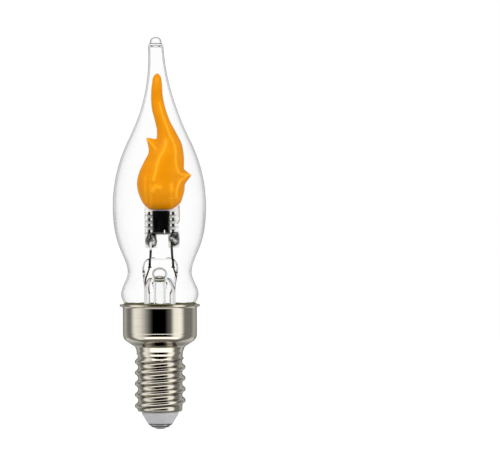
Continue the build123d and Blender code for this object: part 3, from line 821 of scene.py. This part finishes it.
def make_flame():
    """Flame as one closed skin, with its folds raised from the front and the back."""
    skin = joined(
        capped(flame_rings(TONGUE, 110)), capped(flame_rings(LEFT_LICK, 50)), capped(right_lick_rings(30)))
    flame = add_piece("flame", skin, flame_silicone, "flame_silicone", "flame_diffuser", crease=180)
    merge = flame.modifiers.new("merge", "REMESH")
    merge.mode = "VOXEL"
    merge.voxel_size = FLAME_GRAIN * MM
    even = flame.modifiers.new("even", "SMOOTH")
    even.factor = 0.5
    even.iterations = 6
    whole = bpy.data.meshes.new_from_object(flame.evaluated_get(bpy.context.evaluated_depsgraph_get()))
    flame.modifiers.clear()
    flame.data = whole
    whole.name = "flame"

    count = len(whole.vertices)
    places, normals = np.empty(count * 3), np.empty(count * 3)
    whole.vertices.foreach_get("co", places)
    whole.vertices.foreach_get("normal", normals)
    places = places.reshape(-1, 3) / MM
    outward = normals.reshape(-1, 3)[:, 1]
    lift = np.zeros(count)
    for rise, width, path in FOLDS:
        away = distance_to_path(places[:, [0, 2]], path)
        fold = hump(away, 0, width) + FOOT_SHARE * hump(away, 0, width * FOOT_SPREAD)
        lift = np.maximum(lift, rise * fold)
    places[:, 1] += lift * np.sign(outward) * np.clip(np.abs(outward) * FOLD_FACING, 0, 1)
    # Painted highlight: the folds are coloured lighter the higher they stand
    mark(flame, "ridge_highlight", np.clip(lift / RIDGE_HIGHLIGHT_FULL, 0, 1) ** RIDGE_HIGHLIGHT_POWER)
    whole.vertices.foreach_set("co", (places * MM).ravel())
    whole.polygons.foreach_set("use_smooth", [True] * len(whole.polygons))
    whole.update()
    if not whole.materials:
        whole.materials.append(flame_silicone)


# Glass stem with its press, bubble and exhaust tube

STEM_COUNT = 120
TUBE_OUT = 3.6
TUBE_BORE = 2.95
EXHAUST_OUT = 1.4
EXHAUST_BORE = 0.9
EXHAUST_END = box_mm("exhaust_tube")[0].z
FLARE_IN = 7.0
FLARE_UNDER = 6.35
FLARE_TOP = seal_z + 3.6
FLARE_WALL = 0.65
FLARE_STEPS = 12
FLARE_POWER = 2.4
HOLLOW_TOP = rim_z + 5.7
# Hollow round the exhaust tube: radius and height from its top
HOLLOW = [(TUBE_BORE, -3.4), (TUBE_BORE - 0.1, -2.3), (2.72, -1.3), (2.5, -0.5), (2.36, -0.1), (2.3, 0.0),
          (2.24, -0.1), (2.0, -0.7), (EXHAUST_OUT + 0.2, -1.8), (EXHAUST_OUT, -3.0)]
# Closed end of the exhaust tube and of its bore: radius and height
CLOSED_END = [(EXHAUST_OUT, 1.4), (1.1, 0.5), (0.6, 0.12), (0.0, 0.0)]
BORE_END = [(EXHAUST_BORE, 1.6), (0.6, 0.9), (0.0, 0.7)]
BUBBLE_Z = rim_z + 6.85
BUBBLE_RADIUS = 1.62
BUBBLE_STEPS = 12
BUBBLE_TURN = 0.82 * math.pi
THROAT_Z = BUBBLE_Z - 1.32
THROAT_DROP = 0.25
THROAT_WIDTH = 0.44
BORE_RING_RADIUS = 0.88
# Press sections: height above the rim, half width and half depth
PRESS = [(3.4, 3.6, 3.6), (4.4, 3.66, 3.42), (5.7, 3.85, 3.0), (7.0, 4.05, 2.45), (8.0, 4.12, 2.0),
         (8.8, 4.05, 1.75), (9.5, 3.85, 1.6), (10.1, 3.5, 1.42), (10.45, 3.15, 1.25)]
STEM_SHIFT = 0.2
SHIFT_RUN = 7
# Saddle on the press: size of its rings, rise, dip, horns beside it, and the painted shade of its upper band
SADDLE_RINGS = (0.93, 0.82, 0.68, 0.5, 0.3, 0.12)
SADDLE_RISE = 0.3
SADDLE_DIP = 0.5
SADDLE_BAND = 0.5
SADDLE_SHADE = 0.42
HORN = 1.75
HORN_RISE = 0.25
HORN_WIDTH = 0.6


def flare(wide, narrow, low, high):
    """Profile of a tube that widens downwards, from above its low end."""
    shares = [index / FLARE_STEPS for index in range(1, FLARE_STEPS + 1)]
    return [(narrow + (wide - narrow) * (1 - share) ** FLARE_POWER, low + (high - low) * share)
            for share in shares]


def make_stem():
    """Stem tube, flat press with a saddle on top, and the exhaust tube fused inside."""
    foot_out, foot_top = NECK_RADIUS - GAP, seal_z - GAP
    foot = [(foot_out, stem_z), (foot_out, foot_top), (FLARE_IN, foot_top)]
    foot += flare(FLARE_IN, TUBE_OUT, seal_z, FLARE_TOP)
    outside = [ring(radius, z, count=STEM_COUNT) for radius, z in foot]
    for height, wide, deep in smooth_row(PRESS, 40):
        x = STEM_SHIFT * (height - PRESS[0][0]) / SHIFT_RUN
        outside.append(oval(wide, deep, rim_z + height, x, STEM_COUNT))
    last_height, last_wide, last_deep = PRESS[-1]
    press_top = rim_z + last_height
    for shrink in SADDLE_RINGS:
        cap = []
        for turn in turns(STEM_COUNT):
            x, y = last_wide * shrink * math.cos(turn), last_deep * shrink * math.sin(turn)
            dip = SADDLE_DIP * max(0.0, 1 - (x / HORN) ** 2) * (1 - shrink)
            rise = SADDLE_RISE * (1 - shrink) ** 0.5 + HORN_RISE * hump(abs(x), HORN, HORN_WIDTH) - dip
            cap.append((STEM_SHIFT + x, y, press_top + rise))
        outside.append(cap)
    outside.append([(STEM_SHIFT, 0.0, press_top + SADDLE_RISE - SADDLE_DIP)])

    under = [(FLARE_UNDER, stem_z)] + flare(FLARE_UNDER, TUBE_BORE, stem_z, FLARE_TOP - FLARE_WALL)
    under += [(radius, HOLLOW_TOP + rise) for radius, rise in HOLLOW]
    under += [(radius, EXHAUST_END + rise) for radius, rise in CLOSED_END]
    # The skin runs from the tip of the exhaust tube up its hollow, round the foot and up to the saddle
    skin = loft([ring(radius, z, count=STEM_COUNT) for radius, z in reversed(under)] + outside)

    bore = [(0.0, BUBBLE_Z + BUBBLE_RADIUS)]
    for index in range(1, BUBBLE_STEPS + 1):
        angle = BUBBLE_TURN * index / BUBBLE_STEPS
        radius = BUBBLE_RADIUS * math.sin(angle)
        if angle > math.pi / 2:
            radius = max(radius, EXHAUST_BORE)
        bore.append((radius, BUBBLE_Z + BUBBLE_RADIUS * math.cos(angle)))
    bore.append((EXHAUST_BORE, THROAT_Z - THROAT_DROP))
    bore += [(radius, EXHAUST_END + rise) for radius, rise in BORE_END]
    skin = joined(skin, turned(bore, STEM_COUNT, closed=False))
    stem = add_piece("stem", skin, stem_glass, "stem_glass", "stem_tube", "exhaust_tube", crease=60)
    # Painted shade on the saddle's upper band
    heights = np.array(skin[0])[:, 2] - press_top
    mark(stem, "edge", SADDLE_SHADE * np.clip((heights + SADDLE_BAND) / SADDLE_BAND, 0, 1))
    # Dark ring of painted shade in the throat under the bubble
    throat = hoop(BORE_RING_RADIUS, THROAT_Z, 0.0, THROAT_WIDTH)
    add_piece("throat_ring", throat, plain["throat_shade_glass"], "stem_glass")


# Wires


def tube(path, radii, count=THIN):
    """Round skin along a path, with one radius or one at each point, closed at both ends."""
    path = [Vector(point) for point in path]
    if isinstance(radii, (int, float)):
        radii = [radii] * len(path)
    rings, across = [], None
    for index, (point, radius) in enumerate(zip(path, radii)):
        ahead = path[min(index + 1, len(path) - 1)] - path[max(index - 1, 0)]
        ahead.normalize()
        across = ahead.orthogonal() if across is None else across - ahead * across.dot(ahead)
        across.normalize()
        other = ahead.cross(across)
        rings.append([tuple(point + (across * math.cos(turn) + other * math.sin(turn)) * radius)
                      for turn in turns(count)])
    return loft([[tuple(path[0])]] + rings + [[tuple(path[-1])]])


LEAD = 0.55
SEAL = 0.35
WIRE_BEND = 1.2
WIRE_STEP = 0.2
LEAD_SPACING = 4.8
LEAD_FOOT_SPACING = 5.1
LEAD_TOP_Z = board_low.z + 2.05
LEAD_BEND_Z = board_low.z - 0.55
LEAD_FRONT = board_front - 0.1 - LEAD / 2
KNOT = 0.85
KNOT_REACH = 0.6
KNOT_Z = rim_z + 8.3
PRESS_TOP_Z = rim_z + 10.6
SEAL_SPACING = 4.84
SEAL_START_Z = KNOT_Z + 0.3
SEAL_SWAY = 0.7
SEAL_SWAY_Z = rim_z + 5.4
SEAL_END_Z = rim_z + 2.4


def wire(name, points, diameter, slot, node, knot=None):
    """Bent round wire, with a bead at its last point where a knot size is given."""
    path = between(rounded(points, WIRE_BEND, 8), WIRE_STEP)
    radii = [diameter / 2] * len(path)
    if knot:
        end = Vector(points[-1])
        for index, point in enumerate(path):
            away = (Vector(point) - end).length / (knot * KNOT_REACH)
            if away < 1:
                radii[index] = max(diameter / 2, knot / 2 * math.sqrt(1 - away ** 2))
    add_piece(name, tube(path, radii), plain[slot], slot, node, crease=60)


def lead_top(side):
    """Place across of a lead's upper end."""
    return FLAME_X + side * LEAD_SPACING / 2


def make_wires():
    """Upper leads with their knots, and thin wires in the press."""
    for side, name in ((-1, "left"), (1, "right")):
        top_x, foot_x = lead_top(side), FLAME_X + side * LEAD_FOOT_SPACING / 2
        lead = [(top_x, LEAD_FRONT, LEAD_TOP_Z), (top_x, LEAD_FRONT, LEAD_BEND_Z),
                (foot_x, 0, PRESS_TOP_Z), (foot_x, 0, KNOT_Z)]
        wire(f"lead_{name}", lead, LEAD, "lead_wire", f"lead_wire_{name}", KNOT)
        seal = [(foot_x, 0, SEAL_START_Z), (foot_x + side * SEAL_SWAY, 0, SEAL_SWAY_Z),
                (side * SEAL_SPACING / 2, 0, SEAL_END_Z)]
        wire(f"press_wire_{name}", seal, SEAL, "copper_wire", f"seal_wire_{name}")


# Driver board with its chips and solder

# Chip: radius of its corners, and each level outwards with its share of the way out, the depth short of
# that place, and how much less wide and high it is
CHIP_CORNER = 0.14
CHIP_LEVELS = [(0.0, 0.0, 0.24), (0.5, 0.0, 0.0), (1.0, 0.14, 0.16), (1.0, 0.04, 0.24), (1.0, 0.0, 0.4),
               (1.0, 0.0, 0.8), (1.0, 0.0, 0.9)]
# Painted highlight along a chip's foot: its strength and height
FOOT_HIGHLIGHT_SHARE = 0.9
FOOT_HIGHLIGHT_RISE = 0.42
PIN_ROWS = 4
PIN_PITCH = 1.35
PIN_KNEE = 0.48
# Each level of a pin's knee: depth from its front, and how much less wide and high it is
KNEE_LEVELS = [(-0.04, 0.14), (0.04, 0.0), (0.2, 0.0)]
KNEE_CORNER = 0.1
# Front of a pin's knee, of its root and of its foot
KNEE_Y = pads_y - 0.7
ROOT_Y = KNEE_Y + 0.46
FOOT_Y = pads_y - 0.16
# Places of the bends of a pin's root across it, in widths of the knee
ROOT_BENDS = (0.8, 1.25)
ROOT_BEND = 0.14
PIN_WIDTH = 0.6
PIN_ROOT = 0.36
PIN_REACH = 0.98
# Solder drop on a pin's foot: its place beyond the foot, half width, height and unevenness
DROP_OUT = 0.36
DROP_HALF = 0.46
DROP_HIGH = 0.5
DROP_LUMPS = 0.06
# Solder joints of the leads: place across and up, half width and half height
JOINTS = {"left": (-1.85, 43.5, 1.3, 1.85), "right": (3.45, 43.75, 1.15, 1.7)}
JOINT_HIGH = 1.1
JOINT_LUMPS = 0.13
# Painted glints on them: places across and up
GLINTS = {
    "left": [(-1.5, 44.0), (-1.3, 43.4), (-1.35, 42.6)],
    "right": [(2.75, 43.8), (3.2, 43.55), (3.75, 43.2)],
}
GLINT_WIDTH = 0.24
# Solder that climbs the left lead: places along the depth and up, and how much thinner than the lead
CLIMB = [(board_front - 0.95, 43.1), (board_front - 1.02, 42.6), (LEAD_FRONT - 0.3, 41.9),
         (LEAD_FRONT - 0.08, 41.2)]
CLIMB_THIN = 0.04
# Tick on the chip's face: place across and up from its middle and foot, and each level's depth and size
TICK = (0.8, 0.54)
TICK_LEVELS = [(-0.02, 0.2, 0.8), (0.04, 0.24, 0.84)]
TICK_CORNER = 0.06
# Copper lines along the board's edges
RIGHT_LINE_IN = 0.14
RIGHT_LINE_DROP = 14.6
RIGHT_LINE_RISE = 2.3
RIGHT_LINE_BEND = 0.5
RIGHT_LINE = 0.085
LEFT_LINE_IN = 0.06
LEFT_LINE_ENDS = (3.0, 9.0)
LEFT_LINE = 0.05


def rounded_rectangle(width, height, corner, steps=4):
    """Outline of a rectangle with round corners, counter-clockwise."""
    points = []
    for index, (right, up) in enumerate(((1, 1), (-1, 1), (-1, -1), (1, -1))):
        for angle in quarter(steps):
            turn = math.pi / 2 * index + angle
            points.append((right * (width / 2 - corner) + corner * math.cos(turn),
                           up * (height / 2 - corner) + corner * math.sin(turn)))
    return points


def block(x, z, levels, corner):
    """Skin of a moulded block that stands out along Y: each level has a place, width and height."""
    return capped([
        [(x + across, y, z + up) for across, up in rounded_rectangle(width, height, corner)]
        for y, width, height in levels])


def chip(name, node, outward):
    """Chip with drafted sides, a moulding line at half height, chamfered outer edges and a painted highlight
    along its foot.
    """
    low, high = box_mm(node)
    width, height = high.x - low.x, high.z - low.z
    near, far = (high.y, low.y) if outward < 0 else (low.y, high.y)
    levels = [(near + (far - near) * share - outward * short, width - less, height - less)
              for share, short, less in CHIP_LEVELS]
    if outward > 0:
        levels.reverse()
    skin = block((low.x + high.x) / 2, (low.z + high.z) / 2, levels, CHIP_CORNER)
    piece = add_piece(name, skin, chip_black, "chip_black", node, crease=35)
    # Painted highlight along the chip's foot
    mark(piece, "foot_highlight", [FOOT_HIGHLIGHT_SHARE * (z < low.z + FOOT_HIGHLIGHT_RISE) for x, y, z in skin[0]])


def blob(place, wide, tall, high, lumps, count, levels):
    """Skin of an uneven solder drop on a face that looks to the front."""
    x, y, z = place
    rings = []
    for angle in quarter(levels - 1):
        reach, rise = math.cos(angle) ** 0.8, math.sin(angle)
        points = []
        for turn in turns(count):
            uneven = math.sin(3 * turn + 1.3 * x) + 0.6 * math.sin(5 * turn + 2.1 * z)
            lump = 1 + lumps * uneven * (0.4 + rise)
            points.append((x + wide * reach * lump * math.cos(turn), y - high * rise * (2 - lump),
                           z + tall * reach * lump * math.sin(turn)))
        rings.append(points)
    base, top = ([tuple(np.mean(np.array(end), axis=0))] for end in (rings[0], rings[-1]))
    return loft([base] + rings[:-1] + [top])


def make_pins():
    """Knees, roots and solder drops of the driver chip's pins, the roots near-black as painted shade."""
    drops, knees, roots = [], [], []
    chip_side = (chip_high.x - chip_low.x) / 2
    knee = [(KNEE_Y + depth, PIN_KNEE - less, PIN_WIDTH - less) for depth, less in KNEE_LEVELS]
    for row in range(PIN_ROWS):
        z = chip_z + (row - (PIN_ROWS - 1) / 2) * PIN_PITCH
        for side in (-1, 1):
            knee_x = chip_x + side * (chip_side + PIN_KNEE / 2)
            foot_x = chip_x + side * (chip_side + PIN_REACH)
            knees.append(block(knee_x, z, knee, KNEE_CORNER))
            bend, end = (knee_x + side * PIN_KNEE * share for share in ROOT_BENDS)
            path = [(knee_x - side * PIN_KNEE / 2, ROOT_Y, z), (bend, ROOT_Y, z), (end, FOOT_Y, z),
                    (foot_x, FOOT_Y, z)]
            roots.append(tube(between(rounded(path, ROOT_BEND), 0.1), PIN_ROOT, 12))
            drop = (foot_x + side * DROP_OUT, pads_y, z)
            drops.append(blob(drop, DROP_HALF, DROP_HALF, DROP_HIGH, DROP_LUMPS, 24, 9))
    add_piece("pin_knees", joined(*knees), plain["pin_tin"], "pin_tin", crease=50)
    # Roots in near-black: painted shade round the knees
    add_piece("pin_slopes", joined(*roots), plain["pin_root_shade"], "pin_tin", "ic_pins", crease=70)
    add_piece("pin_solder", joined(*drops), plain["pin_drop"], "solder", crease=70)


def make_board():
    """Chips, their pins, the leads' solder joints, and thin copper lines on the board."""
    chip("driver_chip", "driver_ic", -1)
    chip("rectifier_block", "bridge_rectifier", 1)
    make_pins()
    for name, (x, z, wide, tall) in JOINTS.items():
        skin = blob((x, board_front, z), wide, tall, JOINT_HIGH, JOINT_LUMPS, 60, 18)
        joint = add_piece(f"joint_{name}", skin, joint_solder, "solder", f"solder_joint_{name}", crease=70)
        # Painted glints along the listed paths
        away = distance_to_path(np.array(skin[0])[:, [0, 2]], GLINTS[name])
        mark(joint, "glint", hump(away, 0, GLINT_WIDTH))
    climb = between(rounded([(lead_top(-1), y, z) for y, z in CLIMB], 0.3), 0.1)
    add_piece("lead_solder", tube(climb, LEAD / 2 - CLIMB_THIN, 12), plain["pin_drop"], "solder", crease=60)
    tick_levels = [(chip_low.y + depth, wide, high) for depth, wide, high in TICK_LEVELS]
    tick = block(chip_x + TICK[0], chip_low.z + TICK[1], tick_levels, TICK_CORNER)
    add_piece("chip_mark", tick, plain["pin_tin"], "chip_black", crease=50)
    right_x, left_x = board_high.x - RIGHT_LINE_IN, board_low.x + LEFT_LINE_IN
    end_z = chip_low.z + RIGHT_LINE_RISE
    line = [(right_x, board_front, board_high.z - RIGHT_LINE_DROP),
            (right_x, board_front, end_z + RIGHT_LINE_BEND), (right_x - RIGHT_LINE_BEND, board_front, end_z)]
    right_line = tube(between(rounded(line, 0.2), 0.3), RIGHT_LINE, 10)
    left_line = tube([(left_x, board_front, board_low.z + rise) for rise in LEFT_LINE_ENDS], LEFT_LINE, 10)
    add_piece("board_line", joined(right_line, left_line), plain["board_edge"], "board_white", crease=60)


make_envelope()
make_cement_bead()
make_shell()
make_base_end()
make_flame()
make_stem()
make_wires()
make_board()

# Finish of the nodes that stay as they are

FINISHES = {
    "driver_board": "board_white",
    "solder_pads": "pad_tin",
    "rectifier_pins": "pin_tin",
    "chip_resistors": "resistor_body",
    "led_chips": "led_body",
    "tail_wire_side": "tail_metal",
    "tail_wire_centre": "tail_metal",
    "basing_cement": "cement",
    "side_solder": "solder",
}
for node_name, finish in FINISHES.items():
    finished = nodes[node_name].data.materials
    if not finished:
        finished.append(plain[finish])
    for index in range(len(finished)):
        finished[index] = plain[finish]

# Glass lets the light of the studio through to what is inside it
for name in ("envelope", "stem"):
    bpy.data.objects[name].visible_shadow = False
    bpy.data.objects[name].visible_diffuse = False


# Studio: white all round for the eye and for what glass shows, softboxes and a dark gap for reflections

BACKGROUND = 1.0
CEILING = 0.45
FILL = 0.64
FLOOR_GLOW = 1.08
FLOOR_IN_GLASS = 0.6
FLOOR_FILL = 0.5
FLOOR_PAINT = 0.16
FLOOR_REACH = 4000.0
DEGREE = 180 / math.pi
# Softboxes, in degrees to a side: where each starts, is full, ends and is gone, then its level
RIGHT_BOX = (33, 50, 66, 88, 0.79)
RIGHT_EDGE = (16, 34, 66, 88, 0.1)
LEFT_BOX = (18, 70, 82, 106, 0.68)
BACKDROP = (115, 135, 145, 160, 0.2)
FRONT = (-80, -45, 62, 98, 1.3)
# Other lit parts: where each starts and is full in degrees, to a side or upwards, then its level
WALLS = (40, 85, 0.18)
FRONT_ABOVE = (44, 56, 1.0)
FRONT_BELOW = (-18, -31, 1.0)
BEHIND = (105, 140, 1.0)
FLOOR_BEHIND = (-8, -22, 0.6)
WALL_BEHIND = (10, 25, 0.45)
FAR_UP = (55, 70, 1.0)
FAR_DOWN = (-46, -60, 1.0)
FAR_LEVEL = 0.16
GLASS_SIDES = (55, 100, 0.72)


def studio_light(tree, direction, passes):
    """Brightness that polished metal sees in a direction of the studio."""
    axes = tree.add("ShaderNodeSeparateXYZ", {"Vector": direction}).outputs
    turn = tree.times(tree.math("ARCTAN2", axes["X"], tree.times(axes["Y"], -1.0)), DEGREE)
    rise = tree.times(tree.math("ARCSINE", axes["Z"]), DEGREE)
    aside = tree.math("ABSOLUTE", turn)

    def lit(angle, start, full, level):
        return tree.times(tree.step(angle, start, full), level)

    def softbox(angle, start, full, end, gone, level):
        return tree.times(tree.times(tree.step(angle, start, full), tree.step(angle, gone, end)), level)

    right = tree.plus(softbox(turn, *RIGHT_BOX), softbox(turn, *RIGHT_EDGE))
    sides = tree.plus(right, softbox(tree.times(turn, -1.0), *LEFT_BOX))
    level = tree.plus(tree.plus(lit(aside, *WALLS), softbox(aside, *BACKDROP)), sides)
    over_and_under = tree.plus(lit(rise, *FRONT_ABOVE), lit(rise, *FRONT_BELOW))
    level = tree.math("MAXIMUM", level, tree.times(softbox(turn, *FRONT), over_and_under))
    behind = tree.plus(lit(rise, *FLOOR_BEHIND), lit(rise, *WALL_BEHIND))
    level = tree.math("MAXIMUM", level, tree.times(lit(aside, *BEHIND), behind))
    far = tree.plus(lit(rise, *FAR_UP), lit(rise, *FAR_DOWN))
    level = tree.plus(tree.times(level, tree.math("SUBTRACT", 1.0, far)), tree.times(far, FAR_LEVEL))
    # Metal behind the glass has four passes through it, and the glass itself any other number
    metal = tree.math("COMPARE", passes, 4.0)
    in_glass = tree.times(tree.math("MINIMUM", passes, 1.0), tree.math("SUBTRACT", 1.0, metal))
    return tree.math("MAXIMUM", level, tree.times(in_glass, lit(aside, *GLASS_SIDES)))


def make_world():
    """White surroundings, with the softboxes seen only in reflections."""
    world = bpy.data.worlds.new("studio")
    bpy.context.scene.world = world
    world.use_nodes = True
    world.cycles.sampling_method = "NONE"
    tree = Tree(world.node_tree)
    path = tree.add("ShaderNodeLightPath").outputs
    direction = tree.add("ShaderNodeTexCoord").outputs["Generated"]
    height = tree.add("ShaderNodeSeparateXYZ", {"Vector": direction}).outputs["Z"]
    refracted = tree.times(tree.step(height, 0.5, 0.9), path["Is Transmission Ray"])
    clear = tree.spread(refracted, BACKGROUND, CEILING)
    boxes = studio_light(tree, direction, path["Transmission Depth"])
    white, studio, fill = (
        tree.add("ShaderNodeBackground", {"Color": (1, 1, 1, 1), "Strength": strength}).outputs[0]
        for strength in (clear, boxes, FILL))
    mirrored = tree.math("GREATER_THAN", path["Glossy Depth"], 0.5)
    seen = tree.add("ShaderNodeMixShader", {"Fac": mirrored, 1: white, 2: studio}).outputs[0]
    lit = tree.add("ShaderNodeMixShader", {"Fac": path["Is Diffuse Ray"], 1: seen, 2: fill})
    tree.add("ShaderNodeOutputWorld", {"Surface": lit.outputs[0]})


def make_floor():
    """White floor that keeps a soft shadow."""
    reach = FLOOR_REACH * MM
    corners = [(-reach, -reach, 0), (reach, -reach, 0), (reach, reach, 0), (-reach, reach, 0)]
    mesh = bpy.data.meshes.new("floor")
    mesh.from_pydata(corners, [], [(0, 1, 2, 3)])
    floor = bpy.data.objects.new("floor", mesh)
    bpy.context.collection.objects.link(floor)
    material = bpy.data.materials.new("floor_white")
    material.use_nodes = True
    tree = Tree(material.node_tree)
    path = tree.add("ShaderNodeLightPath").outputs
    mirrored = tree.math("MINIMUM", path["Glossy Depth"], 1.0)
    seen = tree.spread(mirrored, FLOOR_GLOW, FLOOR_IN_GLASS)
    scattered = tree.times(path["Is Diffuse Ray"], FLOOR_GLOW - FLOOR_FILL)
    glow = tree.add("ShaderNodeEmission", {"Strength": tree.math("SUBTRACT", seen, scattered)})
    paint = tree.add("ShaderNodeBsdfDiffuse", {"Color": (0.9, 0.9, 0.9, 1)})
    mixed = tree.add("ShaderNodeMixShader", {"Fac": FLOOR_PAINT, 1: glow.outputs[0], 2: paint.outputs[0]})
    tree.add("ShaderNodeOutputMaterial", {"Surface": mixed.outputs[0]})
    mesh.materials.append(material)
    floor.visible_glossy = False


LAMP_AIM = (0, 0, 50)


def add_lamp(name, place, size, power):
    """Square soft lamp that looks at the middle of the bulb."""
    lamp = bpy.data.lights.new(name, "AREA")
    lamp.size = size * MM
    lamp.energy = power
    holder = bpy.data.objects.new(name, lamp)
    holder.location = Vector(place) * MM
    holder.rotation_mode = "QUATERNION"
    holder.rotation_quaternion = (Vector(LAMP_AIM) * MM - holder.location).to_track_quat("-Z", "Y")
    holder.visible_camera = False
    holder.visible_glossy = False
    holder.visible_transmission = False
    bpy.context.collection.objects.link(holder)


make_world()
make_floor()
add_lamp("key_lamp", (-380, -330, 420), 260, 2.0)
add_lamp("right_lamp", (420, -380, 240), 300, 1.6)
add_lamp("back_lamp", (120, 460, 320), 300, 1.4)

# Camera, at the photograph's height and distance

CAMERA_PLACE = (20.8, -800, 46.4)
CAMERA_ROLL = 0.25
LENS = 250.6

camera_data = bpy.data.cameras.new("camera")
camera_data.lens = LENS
camera_data.sensor_width = 36
camera_data.clip_start = 0.01
camera = bpy.data.objects.new("camera", camera_data)
camera.location = Vector(CAMERA_PLACE) * MM
camera.rotation_euler = (math.pi / 2, math.radians(CAMERA_ROLL), 0)
bpy.context.collection.objects.link(camera)

scene = bpy.context.scene
scene.camera = camera
scene.view_settings.view_transform = "Standard"
scene.cycles.max_bounces = 24
scene.cycles.transmission_bounces = 24
scene.cycles.glossy_bounces = 8
